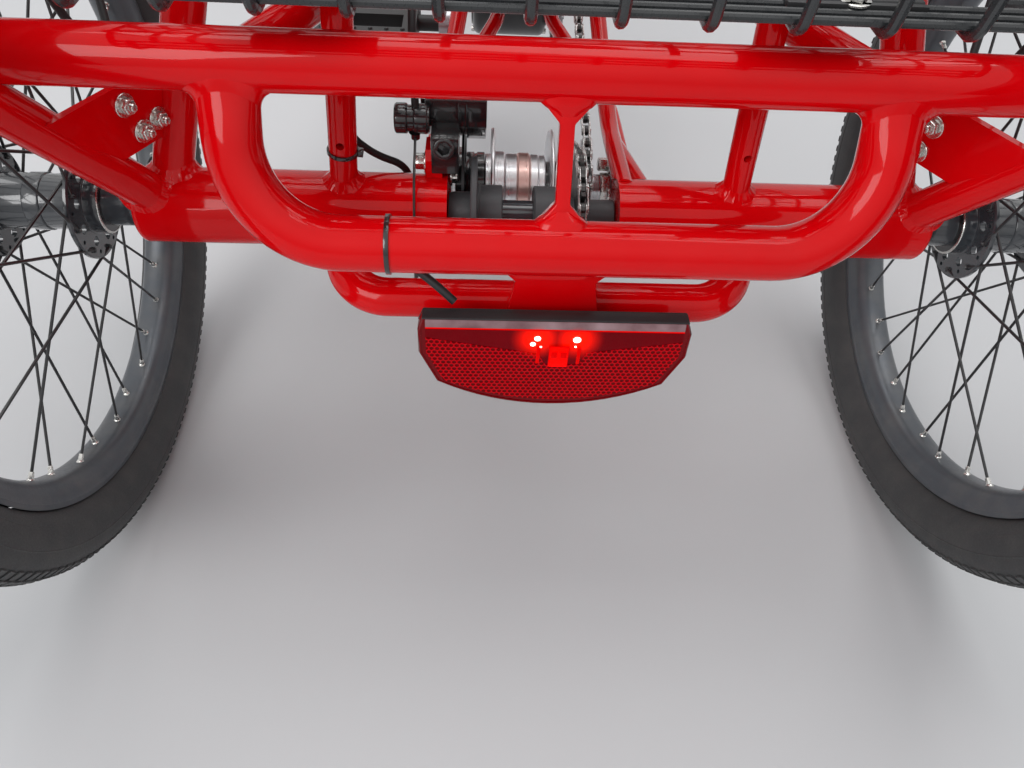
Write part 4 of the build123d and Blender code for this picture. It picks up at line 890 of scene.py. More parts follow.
def rotor(name, body, centre, hub_radius, look, instead=()):
    """A brake rotor: a drilled ring on six swept arms."""
    shape = Shape()
    turned(shape, [(-0.9, 46.0), (-0.9, 69.8), (0.9, 69.8), (0.9, 46.0)], centre, sides=72,
           closed=True)
    holes = Shape()
    for i in range(30):
        a = 2 * pi * i / 30
        r = (64, 58, 52)[i % 3]
        turned(holes, [(-4, 2.2), (4, 2.2)], centre + Vector((0, r * cos(a), r * sin(a))), sides=10)
    drilled(name + "_ring", shape, holes, look, body, instead)
    arms = Shape()
    for i in range(6):
        a = 2 * pi * i / 6
        out = Vector((0, cos(a), sin(a)))
        slab(arms, [(hub_radius, -5), (48, -3), (48, 5), (hub_radius, 3)], centre, out,
             X.cross(out), -0.85, 0.85)
    piece(name + "_arms", arms, [look], body)


class TRIKE_OT_wheels(bpy.types.Operator):
    """Build the tyres, rims, hubs, spokes and nipples"""

    bl_idname = "trike.wheels"
    bl_label = "Wheels"

    def execute(self, context):
        settings = context.scene.trike_wheels
        for body, centre, flange, low, high, phase in WHEELS:
            tyre(body, centre, settings)
            rim(body, centre)
            hub(body, centre, flange, low, high, phase, settings.spokes)
            spokes(body, centre, flange, phase, settings)
        rotor("front_rotor", "front_wheel", FRONT_WHEEL - X * 38, 14, "steel")
        return {"FINISHED"}


# Weld beads where one tube meets another

BEAD_STEPS = 144
HOUSING_R = 25.4
STRUT_R = 13.0
UPRIGHT_R = 9.1
# The upper tube and the bumper loop are bent from one size of tube
RAIL_R = 15.9
LOOP_X = 4.0
LOOP_HALF = 178.0


def meeting(foot, way, radius, point, line, main_radius, depth=None):
    """The line where a branch tube enters a main tube, with the branch's outward normals.

    A branch pressed flat has its own depth across the main tube.
    """
    first, second = (X, way.cross(X)) if depth else across(way)
    depth = depth or radius
    found = []
    for i in range(BEAD_STEPS):
        a = 2 * pi * i / BEAD_STEPS
        normal = (first * cos(a) / radius + second * sin(a) / depth).normalized()
        start = foot + first * radius * cos(a) + second * depth * sin(a)
        gap = start - point
        gap -= line * gap.dot(line)
        step = way - line * way.dot(line)
        p, q, r = step.dot(step), 2 * gap.dot(step), gap.dot(gap) - main_radius**2
        root = q * q - 4 * p * r
        along = (-q + sqrt(root)) / (2 * p) if root > 0 else -q / (2 * p)
        found.append((start + way * along, normal))
    return found


def bead(shape, foot, way, radius, point, line, main_radius, size, ripples, relief=0.7, pull=0.28,
         depth=None):
    """A fillet of weld round a joint of two tubes, with scales one after another."""
    way, line = Vector(way).normalized(), Vector(line).normalized()
    rings = []
    joint = meeting(foot, way, radius, point, line, main_radius, depth)
    for i, (root, normal) in enumerate(joint):
        turn = ripples * i / BEAD_STEPS % 1.0
        ripple = relief * (1 - turn) * min(1.0, turn * 5)
        reach = size * (1 + 0.05 * sin(0.37 * i))
        up = root + way * reach - normal * 0.3
        out = root + normal * reach
        gap = out - point
        flat = gap - line * gap.dot(line)
        foot_point = point + line * gap.dot(line) + flat.normalized() * (main_radius - 0.3)
        outward = (way + normal).normalized()
        bulge = root + outward * (size * pull)
        inner = root - outward * 1.5
        section = [up]
        for t in (0.1, 0.25, 0.4, 0.55, 0.7, 0.85, 0.95):
            section.append(up * (1 - t) ** 2 + bulge * 2 * t * (1 - t) + foot_point * t * t
                           + outward * ripple * sin(pi * t))
        section += [foot_point, inner]
        rings.append(section)
    bridge(shape, rings, closed=True)


UPPER = rear(0, -58.0, 132.7)
BUMPER = rear(LOOP_X, -95.6, 46.1)
UPPER_MIDDLE = UPPER + X * LOOP_X
LEAN = (UPPER_MIDDLE - BUMPER).normalized()


class TRIKE_OT_bumper(bpy.types.Operator):
    """Bend the bumper loop, its legs pressed flat below the upper tube, with brace and plate"""

    bl_idname = "trike.bumper"
    bl_label = "Bumper loop"

    def execute(self, context):
        shape = Shape()
        turns = [point + X * side * LOOP_HALF for side, point in
                 ((-1, UPPER_MIDDLE), (-1, BUMPER), (1, BUMPER), (1, UPPER_MIDDLE))]
        bends = rounded(turns, [55, 55], 20)
        path = []
        for a, b in zip(bends, bends[1:]):
            steps = max(1, int((b - a).length / 6)) if (b - a).length < 60 else 12
            path += [a.lerp(b, i / steps) for i in range(steps)]
        path.append(bends[-1])
        normal = X.cross(LEAN).normalized()
        rings = []
        for i, point in enumerate(path):
            way = (path[min(i + 1, len(path) - 1)] - path[max(i - 1, 0)]).normalized()
            gap = min((point - turns[0]).length, (point - turns[3]).length)
            flat = 1 - max(0.0, min(1.0, (gap - 12) / 28))
            flat = flat * flat * (3 - 2 * flat)
            side = way.cross(normal).normalized()
            wide, deep = RAIL_R + 1.0 * flat, RAIL_R - 3.9 * flat
            rings.append([point + side * wide * cos(2 * pi * j / 40)
                          + normal * deep * sin(2 * pi * j / 40) for j in range(40)])
        bridge(shape, rings)
        middle_at = (BUMPER + UPPER_MIDDLE) / 2
        half = (UPPER_MIDDLE - BUMPER).length / 2
        low, high = -half + RAIL_R, half - RAIL_R
        flank = [(13, low - 8), (13, low), (4, low + 10), (4, high - 10), (13, high), (13, high + 8)]
        slab(shape, flank + [(-x, y) for x, y in reversed(flank)], middle_at, X, LEAN, -6, 6)
        flank = [(32, 0), (32, -RAIL_R), (24, -RAIL_R - 8), (28.5, -52.1)]
        slab(shape, flank + [(-x, y) for x, y in reversed(flank)], BUMPER, X, Z, -2.5, 2.5)
        piece("bumper_loop_tube", shape, ["paint"], "frame", bevel=0.8,
              instead=["bumper_loop"], sharp=30)
        return {"FINISHED"}


class TRIKE_OT_welds(bpy.types.Operator):
    """Lay weld beads round the frame's joints"""

    bl_idname = "trike.welds"
    bl_label = "Welds"

    def execute(self, context):
        beads = Shape()
        for side in (-1, 1):
            strut_foot, strut_top = rear(side * 251, 0, 0), rear(side * 298, -74.5, 119)
            way = (strut_top - strut_foot).normalized()
            bead(beads, strut_foot, way, STRUT_R, AXLE, X, HOUSING_R, 4.0, 24, relief=0.5)
            for foot, top, radius, size in (((252, 0, 0), (210, 45, 160), STRUT_R, 6.5),
                                            ((134, 0, 0), (121, -6.5, 160), UPRIGHT_R, 5.5)):
                foot = rear(side * foot[0], foot[1], foot[2])
                top = rear(side * top[0], top[1], top[2])
                way = (top - foot).normalized()
                bead(beads, foot, way, radius, AXLE, X, HOUSING_R, size, int(radius * 1.6))
            bead(beads, UPPER_MIDDLE + X * side * LOOP_HALF, -LEAN, RAIL_R + 1.0, UPPER, X, RAIL_R,
                 7.0, 30, relief=0.12, pull=0.12, depth=RAIL_R - 3.9)
            arm = (rear(0, -69, -18) - AXLE).normalized()
            bead(beads, rear(side * 130, 0, 0), arm, 12.7, AXLE, X, HOUSING_R, 6.0, 22)
        # Lobes of weld where the brace stands on the bar and under the upper tube
        for foot, way in ((BUMPER + LEAN * 14.6, LEAN), (UPPER_MIDDLE - LEAN * 14.6, -LEAN)):
            normal = X.cross(way).normalized()
            rings = []
            for height, grow in ((-9.0, 1.12), (-4.0, 1.12), (1.0, 1.02), (3.0, 0.86), (5.0, 0.62),
                                 (7.5, 0.42)):
                line = []
                for i in range(48):
                    a = 2 * pi * i / 48
                    lobe = 1 + 0.06 * cos(4 * a + pi)
                    line.append(foot + way * height + X * 15.5 * grow * lobe * cos(a)
                                + normal * 10.5 * (0.4 + 0.6 * grow) * lobe * sin(a))
                rings.append(line)
            bridge(beads, rings)
        piece("frame_welds", beads, ["paint"], "frame", sharp=60)
        return {"FINISHED"}


# Chains

LINK_PITCH = 12.7
AXLE_SPROCKET_R = 40.6
AXLE_SPROCKET_TEETH = 20
HUB_SPROCKET_R = 35.0
CHAINRING_R = 85.0
HUB_AT = (83.0, -33.0)
CRANK_AT = (440.0, 8.0)
HUB = rear(0, *HUB_AT)
CRANK = rear(0, *CRANK_AT)


def chain_path(first, second):
    """Points a link apart round two pitch circles, each y, z, radius, with their directions."""
    (y0, z0, r0), (y1, z1, r1) = first, second
    span = sqrt((y1 - y0) ** 2 + (z1 - z0) ** 2)
    heading = atan2(z1 - z0, y1 - y0)
    tilt = acos((r0 - r1) / span)
    run = sqrt(span**2 - (r0 - r1) ** 2)
    round_first, round_second = r0 * (2 * pi - 2 * tilt), r1 * 2 * tilt
    total = 2 * run + round_first + round_second
    count = 2 * round(total / LINK_PITCH / 2)

    def at(s):
        s %= total
        if s < round_first:
            a = heading + tilt + s / r0
            return Vector((0, y0 + r0 * cos(a), z0 + r0 * sin(a)))
        s -= round_first
        if s < run:
            a, b = heading - tilt, s / run
        elif s < run + round_second:
            a = heading - tilt + (s - run) / r1
            return Vector((0, y1 + r1 * cos(a), z1 + r1 * sin(a)))
        else:
            a, b = heading + tilt, 1 - (s - run - round_second) / run
        start = Vector((0, y0 + r0 * cos(a), z0 + r0 * sin(a)))
        end = Vector((0, y1 + r1 * cos(a), z1 + r1 * sin(a)))
        return start.lerp(end, b)

    return [at(total * i / count) for i in range(count)]


def link_plates(gaps):
    """Two waisted plates, a pitch long, at each side of a chain."""
    outline = (arc((LINK_PITCH / 2, 0), 4.0, -110, 110, 8) + [(0, 2.5)]
               + arc((-LINK_PITCH / 2, 0), 4.0, 70, 290, 8)
               + [(0, -2.5)])
    shape = Shape()
    for low, high in gaps:
        slab(shape, outline, Vector((0, 0, 0)), Vector((0, 0, 1)), Vector((0, 1, 0)), low, high)
    return shape


def links(name, x, first, second, node):
    path = [rear(x, 0, 0) + point for point in chain_path(first, second)]
    count = len(path)
    outer, inner, rollers = [], [], []
    for i in range(count):
        here, after = path[i], path[(i + 1) % count]
        turn = facing(after - here, X)
        (outer if i % 2 else inner).append(((here + after) / 2, turn))
        rollers.append((here, facing(X)))
    meshes = []
    for label, places, gaps in (("outer", outer, ((-3.4, -2.45), (2.45, 3.4))),
                                ("inner", inner, ((-2.4, -1.5), (1.5, 2.4)))):
        meshes.append(copied(f"{name}_{label}", link_plates(gaps), places, "chain",
                             bevel=0.25))
    roller = Shape()
    turned(roller, [(-1.45, 3.0), (-1.2, 3.9), (1.2, 3.9), (1.45, 3.0)], Vector((0, 0, 0)), Z,
           sides=10)
    meshes.append(copied(f"{name}_rollers", roller, rollers, "dark_steel"))
    pin = Shape()
    turned(pin, [(-3.7, 1.2), (-3.5, 1.7), (3.5, 1.7), (3.7, 1.2)], Vector((0, 0, 0)), Z, sides=8)
    meshes.append(copied(f"{name}_pins", pin, rollers, "chain"))
    for label, mesh in zip(("outer", "inner", "rollers", "pins"), meshes):
        fit(put(f"{name}_{label}", mesh), "frame", [node])


class TRIKE_OT_chains(bpy.types.Operator):
    """Lay the two roller chains link by link"""

    bl_idname = "trike.chains"
    bl_label = "Chains"

    def execute(self, context):
        links("axle_links", 25.0, (0, 0, AXLE_SPROCKET_R), (*HUB_AT, HUB_SPROCKET_R), "axle_chain")
        links("drive_links", 40.0, (*HUB_AT, HUB_SPROCKET_R), (*CRANK_AT, CHAINRING_R),
              "drive_chain")
        return {"FINISHED"}


# Tail light

LAMP_X = 5.0
LAMP_HALF = 83.0
LAMP_BACK = -98.4
LAMP_SPLIT = -106.4
LAMP_FACE = -118.4
LENS_FACE = LAMP_FACE + 0.4
LAMP_LOW = -66.0
LEDGE = -115.4
LAMP_ORIGIN = rear(LAMP_X, 0, 0)


def lamp_outline(inset=0.0, top=8.0):
    """Flat top, cut corners and a wide arc below."""
    half = LAMP_HALF - inset
    sag = LAMP_LOW + inset
    chord = half - 10
    drop = -44 - sag
    radius = (chord**2 + drop**2) / (2 * drop)
    sweep = acos((radius - drop) / radius)
    below = [(radius * sin(sweep * t), sag + radius * (1 - cos(sweep * t)))
             for t in [1 - i / 8 for i in range(17)]]
    return ([(-half, top - inset - 8), (-half + 3, top - inset), (half - 3, top - inset),
             (half, top - inset - 8), (half, -19)] + below + [(-half, -19)])


def sloped(z):
    """How far the lens leans back at a height: its upper part slopes up to the ledge."""
    return max(0.0, (z + 8.0) / 16.0) * (LEDGE - LAMP_FACE)


def band_below(x):
    """Where the ribbed band ends below: a shallow V with a dip for the lamps."""
    dip = min(1.0, max(0.0, (14.0 - abs(x - 6.0)) / 3.0))
    return -20.7 + 0.18 * abs(x - 1.0) - 8.9 * dip


def lens_floor(x):
    """The lower edge of the lens inside its rim."""
    line = sorted(point for point in lamp_outline(4.9) if point[1] <= -19)
    for (a, za), (b, zb) in zip(line, line[1:]):
        if a <= x <= b and b > a:
            return za + (zb - za) * (x - a) / (b - a)
    return -19.0


class LampSettings(bpy.types.PropertyGroup):
    """Sizes of the tail light."""

    prism_pitch: bpy.props.FloatProperty(
        name="Prism pitch", description="Width of one hexagonal prism of the reflector",
        subtype="DISTANCE", unit="LENGTH", min=0.001, max=0.01, default=0.0034)
    strip_height: bpy.props.FloatProperty(
        name="Strip height", description="Height of the clear strip above the ribs",
        subtype="DISTANCE", unit="LENGTH", min=0.002, max=0.006, default=0.0056)


def lamp_shell():
    """The black shell behind the lens, with the ledge above it."""
    shell = Shape()
    rings = []
    for y, inset, top in ((LAMP_BACK, 6.0, 4.8), (LAMP_BACK - 2, 4.2, 5.4),
                          (LAMP_SPLIT + 0.4, 0.2, 8), (LAMP_SPLIT - 1.0, 0.2, 8)):
        rings.append([LAMP_ORIGIN + X * a + Z * b + Y * y for a, b in lamp_outline(inset, top)])
    bridge(shell, rings)
    # The black top ledge reaches over the lens
    box(shell, LAMP_ORIGIN + Vector((0, (LAMP_SPLIT - 0.6 + LEDGE) / 2, 7.3)),
        (160, LAMP_SPLIT - 0.6 - LEDGE, 1.4))
    piece("tail_light_shell", shell, ["plastic"], "frame", bevel=0.8,
          instead=["tail_light_housing"])


def lamp_rim():
    """The red rim round the lens, which reaches back to the shell."""
    rim_shape = Shape()
    outer, inner = lamp_outline(0.2, top=7.0), lamp_outline(2.2, top=8.8)
    wide = lamp_outline(5.0, top=11.6)
    rings = [[LAMP_ORIGIN + X * a + Z * b + Y * (y + (sloped(b) if y < LAMP_SPLIT else 0))
              for a, b in line]
             for y, line in ((LAMP_SPLIT, outer), (LENS_FACE + 1.4, outer),
                             (LENS_FACE, lamp_outline(1.1, top=7.8)), (LENS_FACE + 0.2, inner),
                             (LENS_FACE + 0.7, inner), (LENS_FACE + 0.7, wide),
                             (LENS_FACE + 1.8, wide), (LAMP_SPLIT, wide))]
    bridge(rim_shape, rings, closed=True)
    piece("tail_light_rim", rim_shape, ["lens_rim"], "frame",
          instead=["tail_light_lens"])


def lamp_lens(settings):
    """The face of the lens in bands from the top: clear strip, red line with a painted glow, ribs, prisms.
    """
    lens = Shape()
    strip = settings.strip_height / MM
    top_z, half = 6.6, LAMP_HALF - 4.9
    steps = 54
    columns = [-half + 2 * half * i / steps for i in range(steps + 1)]
    bottom = top_z - strip
    for mark, high, foot, depth in (
            (0, lambda x: top_z, lambda x: bottom, 0.5),
            (3, lambda x: bottom, lambda x: bottom - 0.9, 0.7),
            (1, lambda x: bottom - 0.9, band_below, 0.0), (2, band_below, lens_floor, 0.35)):
        front = LENS_FACE + 0.9 - depth
        rings = []
        for x in columns:
            rings.append([LAMP_ORIGIN + Vector((x, front + back + sloped(z), z))
                          for back, z in ((0, high(x)), (0, foot(x)), (3, foot(x)),
                                          (3, high(x)))])
        bridge(lens, rings, mark)
    piece("tail_light_lens_face", lens, ["clear", "lens_ribs", "lens", "led_dim"], "frame",
          sharp=25)


def lamp_lights():
    """The lit LEDs behind the lens, and the plates and the block round them, which glow with painted light.
    """
    lamps = Shape()
    for x, z, wide in ((-5.6, -6.0, 4.2), (-8.2, -10.4, 3.6), (18.4, -6.4, 5.0),
                       (18.0, -12.0, 1.6), (-3.2, -12.6, 1.6)):
        turned(lamps, [(0.0, wide / 2), (0.25, wide / 2 - 0.2), (0.4, wide / 4)],
               LAMP_ORIGIN + Vector((x - LAMP_X, LENS_FACE + 0.85 + sloped(z), z)), -Y, 16, 1)
    for x, wide, high, z, mark in ((8.3, 12.4, 18.0, -21.0, 2), (8.3, 10.6, 16.2, -21.0, 0),
                                   (-4.6, 2.2, 14.0, -20.0, 2), (20.6, 2.2, 14.0, -20.0, 2)):
        box(lamps, LAMP_ORIGIN + Vector((x - LAMP_X, LENS_FACE + (0.75 if mark else 0.55), z)),
            (wide, 0.7, high), mark)
    for x in (5.4, 11.2):
        box(lamps, LAMP_ORIGIN + Vector((x - LAMP_X, LENS_FACE + 0.2, -19.0)), (4.2, 0.6, 6.0), 2)
    piece("tail_light_lamps", lamps, ["led", "led_core", "led_dim"], "frame",
          bevel=0.15)


class TRIKE_OT_tail_light(bpy.types.Operator):
    """Build the tail light: shell, rim, ribbed and prism lens, and its lamps"""

    bl_idname = "trike.tail_light"
    bl_label = "Tail light"

    def execute(self, context):
        settings = context.scene.trike_lamp
        lamp_shell()
        lamp_rim()
        lamp_lens(settings)
        lamp_lights()
        return {"FINISHED"}


# Basket


class BasketSettings(bpy.types.PropertyGroup):
    """Sizes of the wire basket."""

    rod: bpy.props.FloatProperty(
        name="Rod", description="Radius of the basket's rods", subtype="DISTANCE",
        unit="LENGTH", min=0.001, max=0.006, default=0.003)
    pitch: bpy.props.FloatProperty(
        name="Pitch", description="Spacing of the wires across the basket", subtype="DISTANCE",
        unit="LENGTH", min=0.02, max=0.08, default=0.041)


def basket_clamps():
    """Ribbed clamp strips that hold the basket down, each with two bolts."""
    strip, bolts = Shape(), Shape()
    for side in (-1, 1):
        outline = [(-25, 0), (-25, 3.2)]
        for groove in range(8):
            at = -22 + groove * 6
            outline += [(at, 3.2), (at + 0.8, 2.2), (at + 2.0, 2.2), (at + 2.8, 3.2)]
        outline += [(25, 3.2), (25, 0)]
        slab(strip, outline, rear(side * 131.5, -58, 178.6), Y, Z, -33.5, 33.5)
        for y in (-77.5, -38.5):
            hexagon(bolts, rear(side * 131.5, y, 180.6), Z, 5.2, 3.4)
    piece("basket_clamps", strip, ["plastic"], "frame", bevel=0.3)
    piece("basket_clamp_bolts", bolts, ["silver"], "frame", bevel=0.3)


class TRIKE_OT_basket(bpy.types.Operator):
    """Bend and weld the wire basket"""

    bl_idname = "trike.basket"
    bl_label = "Basket"

    def execute(self, context):
        settings = context.scene.trike_basket
        r = settings.rod / MM
        pitch = settings.pitch / MM
        half, flare, back, front = 240.0, 20.0, -97.0, 182.0
        floor, top, rod_z = 172.8, 372.0, 178.0
        wires = Shape()

        def loop(z, half_x, y0, y1, radius):
            corners = [rear(-half_x, y0, z), rear(half_x, y0, z), rear(half_x, y1, z),
                       rear(-half_x, y1, z)]
            middle_front = (corners[2] + corners[3]) / 2
            path = rounded([middle_front, corners[3], corners[0], corners[1], corners[2],
                            middle_front], [16.0] * 4, 6)[:-1]
            tube(wires, path, radius, sides=10, closed=True)

        def hooked(foot, head, inward):
            """A wall wire that hooks under the rods and ends in a round tip."""
            tip = foot + inward * 22
            tube(wires, rounded([head, foot, tip], [9], 8), r, sides=10)
            turned(wires, [(0, r), (r * 0.5, r * 0.87), (r * 0.87, r * 0.5), (r, 0.2)], tip,
                   inward, sides=10)

        loop(top, half + flare, back - flare, front + flare, 4.0)
        loop((floor + top) / 2, half + flare / 2, back - flare / 2, front + flare / 2, r)
        count = int(2 * half / pitch)
        for number in range(count + 1):
            x = (number - count / 2) * pitch
            x_top = x * (half + flare) / half
            hooked(rear(x, back, floor), rear(x_top, back - flare, top), Y)
            hooked(rear(x, front, floor), rear(x_top, front + flare, top), -Y)
        along = int((front - back) / pitch)
        for number in range(1, along):
            y = back + (front - back) * number / along
            for side in (-1, 1):
                hooked(rear(side * half, y, floor), rear(side * (half + flare), y, top), X * -side)
        rods = [-92.6, -84.7, -76.5] + [front - 5 - pitch * row / 2 for row in range(12)]
        for y in rods:
            tube(wires, [rear(-half + 3, y, rod_z), rear(half - 3, y, rod_z)], 2.2, sides=10)
        for x in (-half + 3, half - 3):
            tube(wires, [rear(x, -92.6, rod_z), rear(x, front - 5, rod_z)], 2.2, sides=10)
        for x in (-143.5, -61.5, 61.5, 143.5):
            tube(wires, [rear(x, -62.5, floor), rear(x, front - 3, floor)], r, sides=10)
        piece("basket_wires", wires, ["coated_wire"], "frame", instead=["basket"])
        basket_clamps()
        return {"FINISHED"}


def hexagon(shape, foot, way, radius, height, stud=0.0):
    """A hexagon head or nut on a washer, with what is left of the stud."""
    way = Vector(way).normalized()
    first, second = across(way)
    turned(shape, [(0, radius * 1.45), (1.2, radius * 1.45)], foot, way, 24)
    rings = [ring(foot + way * depth, first, second, radius * scale, 6)
             for depth, scale in ((1.0, 1.0), (height, 1.0), (height + 0.6, 0.86))]
    bridge(shape, rings)
    if stud:
        turned(shape, [(height, radius * 0.5), (height + stud - 0.6, radius * 0.5),
                       (height + stud, radius * 0.36)], foot, way, 16)


def socket_head(shape, foot, way, radius, height, mark=0, deep=1):
    """A round cap screw with a hexagonal socket; deep is the finish of the socket, where a black one in a
    silver screw is painted shade.
    """
    way = Vector(way).normalized()
    first, second = across(way)
    sides = 24

    def socket(at):
        size = radius * 0.52
        points = []
        for i in range(sides):
            a = 2 * pi * i / sides
            reach = size / cos((a + pi / 6) % (pi / 3) - pi / 6)
            points.append(at + (first * cos(a) + second * sin(a)) * reach)
        return points

    rings = [ring(foot + way * depth, first, second, radius * scale, sides)
             for depth, scale in ((-2, 1.0), (height - 0.8, 1.0), (height, 0.9))]
    bridge(shape, rings + [socket(foot + way * height)], mark, caps=False)
    floor = foot + way * (height - radius * 0.8)
    bridge(shape, [socket(foot + way * height), socket(floor),
                   ring(floor, first, second, 0.05, sides)], deep, caps=False)


def band(shape, centre, way, radius, width, lock):
    """A cable tie round a tube, with its small lock on one side."""
    way = Vector(way).normalized()
    turned(shape, [(-width / 2, radius - 0.3), (-width / 2, radius + 1.1),
                   (width / 2, radius + 1.1), (width / 2, radius - 0.3)], centre, way, 48,
           closed=True)
    out = Vector(lock)
    out = (out - way * out.dot(way)).normalized()
    side = way.cross(out)
    box(shape, centre + out * (radius + 2.0), (width + 1.4, 5.4, 3.6), 0, way, side)


def teeth(radius, count):
    """The outline of a chain sprocket on its pitch circle."""
    line = []
    for tooth in range(count):
        for share, reach in ((-0.34, -3.4), (-0.22, -1.6), (-0.1, 2.2), (0.1, 2.2), (0.22, -1.6),
                             (0.34, -3.4)):
            a = 2 * pi * (tooth + share) / count
            line.append(((radius + reach) * cos(a), (radius + reach) * sin(a)))
    return line


def gear_hub_drum():
    """The gear hub's drum with its bands, its left end cap and its steps."""
    drum = Shape()
    turned(drum, [(-60.6, 8.0), (-60.6, 27.0), (-59.6, 28.0), (-55.6, 28.0), (-55.2, 20.0),
                  (-52.8, 20.0), (-52.4, 24.0), (-50.0, 24.6), (-46.4, 24.6), (-46.0, 23.6),
                  (-44.4, 23.6), (-44.0, 24.6), (-38.4, 24.6), (-37.8, 14.0)], HUB, sides=56)
    turned(drum, [(-38.0, 12.0), (-37.8, 22.6), (-37.2, 23.4), (-33.2, 23.4), (-32.6, 22.6),
                  (-32.6, 12.0)], HUB, sides=56, mark=1)
    turned(drum, [(8.8, 14.0), (9.2, 18.6), (22.6, 19.0), (23.2, 16.0)], HUB, sides=48)
    # The third band takes a painted reflection of the red frame.
    for x_from, x_to, radius, mark in ((-31.0, -22.8, 25.4, 1), (-22.2, -13.0, 23.8, 1),
                                       (-12.4, -3.4, 24.8, 2), (-2.8, 3.4, 23.8, 1),
                                       (3.8, 8.8, 23.2, 1)):
        turned(drum, [(x_from - 0.5, 12.0), (x_from - 0.5, radius - 1.2), (x_from, radius - 0.5),
                      (x_from + 0.6, radius), (x_to - 0.6, radius), (x_to, radius - 0.5),
                      (x_to + 0.5, radius - 1.2), (x_to + 0.5, 12.0)], HUB, sides=64, mark=mark)
    piece("gear_hub_drum", drum, ["gloss_black", "alloy", "anodised"], "gear_hub",
          instead=["gear_hub_shell"], sharp=30)


def gear_hub_discs():
    """The two thin drilled discs on the drum."""
    discs, holes = Shape(), Shape()
    for x in (-32.0, 13.0):
        turned(discs, [(x - 1.0, 20.0), (x - 1.0, 41.0), (x - 1.4, 42.0), (x - 0.6, 43.0),
                       (x + 0.6, 43.0), (x + 1.4, 42.0), (x + 1.0, 41.0), (x + 1.0, 20.0)], HUB,
               sides=96)
        for i in range(18):
            a = 2 * pi * i / 18
            turned(holes, [(-4, 1.4), (4, 1.4)], HUB + Vector((x, 38 * cos(a), 38 * sin(a))),
                   sides=8)
    drilled("gear_hub_discs", discs, holes, "alloy", "gear_hub")


def drive_sleeves():
    """Sleeves along the drive axle, its flange and its sprocket."""
    sleeves = Shape()
    turned(sleeves, [(-62.9, 6.0), (-62.9, 12.6), (-60.0, 13.8), (-48.6, 14.0), (-48.0, 14.0),
                     (-48.0, 36.0), (-47.2, 37.0), (-44.0, 37.0), (-43.4, 36.2), (-43.4, 19.4),
                     (-42.0, 19.4), (-41.4, 18.8), (-27.0, 18.8), (-26.2, 18.0), (-26.0, 8.0)],
           AXLE, sides=56)
    turned(sleeves, [(-5.0, 8.0), (-4.8, 18.0), (-4.0, 18.8), (11.6, 18.8), (12.4, 18.0),
                     (12.8, 11.6), (23.2, 11.4)], AXLE, sides=56)
    turned(sleeves, [(26.6, 10.6), (50.4, 11.0), (51.2, 10.2), (51.3, 4.0)], AXLE, sides=48)
    turned(sleeves, [(-27.0, 9.0), (-4.0, 9.0)], AXLE, sides=40, mark=1)
    slab(sleeves, teeth(AXLE_SPROCKET_R, AXLE_SPROCKET_TEETH), AXLE, Y, Z, 23.6, 26.4, 2)
    piece("drive_sleeves", sleeves, ["sleeve", "hub_shell", "dark_steel"], "rear_axle",
          instead=["drive_axle"], sharp=28)


class TRIKE_OT_drive(bpy.types.Operator):
    """Build the gear hub's drum, its rotor, the drive axle's sleeves and the sprocket"""

    bl_idname = "trike.drive"
    bl_label = "Rear drive"

    def execute(self, context):
        gear_hub_drum()
        gear_hub_discs()
        rotor("rear_rotor", "gear_hub", HUB - X * 54, 16, "rotor", ["brake_rotor"])
        drive_sleeves()
        return {"FINISHED"}


def gusset_nuts():
    """Nuts with washers and stud ends on the gusset plates, which stand turned by 26 degrees."""
    turn = radians(26)
    nut = Shape()
    hexagon(nut, Vector((0, 0, 0)), Z, 5.0, 5.0, stud=3.4)
    places = []
    for side, spots in ((-1, ((-18.5, 82.5), (2.2, 64.0), (-11.3, 62.0))),
                        (1, ((-3.7, 77.8), (-1.0, 59.0)))):
        along = Vector((-side * sin(turn), cos(turn), 0))
        normal = Vector((cos(turn), side * sin(turn), 0)) * -side
        for number, (u, z) in enumerate(spots):
            at = rear(side * 246.0, 0, z) + along * u + normal * 2.5
            places.append((at, facing(normal, Vector((0, cos(number), sin(number))))))
    copies("gusset_nuts", nut, places, "silver", "frame", "bright_steel", bevel=0.3)


def dropout_bolts():
    """Bolts and axle nuts of the hub dropouts, and the lock nut beside the sprockets."""
    heads = Shape()
    for foot, way, radius, height in (
            (rear(62, 97, -21), -X, 5.4, 9.0), (rear(62, 60, -24), -X, 5.0, 5.0),
            (rear(70, 97, -21), X, 5.4, 6.0), (rear(70, 60, -24), X, 5.0, 5.0),
            (rear(-78, 13, 31), -X, 5.6, 7.0), (rear(-62, 14, 19), X, 4.6, 4.6),
            (rear(-70, 97, -20), -X, 5.4, 6.0), (rear(-70, 60, -24), -X, 5.0, 5.0)):
        hexagon(heads, foot, way, radius, height)
    for x, way in ((-70, -X), (70, X)):
        hexagon(heads, HUB + X * x, way, 8.4, 7.0, stud=6.0)
    piece("dropout_bolts", heads, ["silver"], "frame", bevel=0.3)
    collar = Shape()
    turned(collar, [(53.6, 9.0), (53.6, 11.0), (54.4, 11.8), (60.4, 11.8), (61.2, 11.0),
                    (61.2, 9.0)], HUB, sides=6, closed=True)
    piece("hub_lock_nut", collar, ["silver"], "gear_hub", bevel=0.3)


BRAKE_BARREL = rear(0, 16, 60.5)


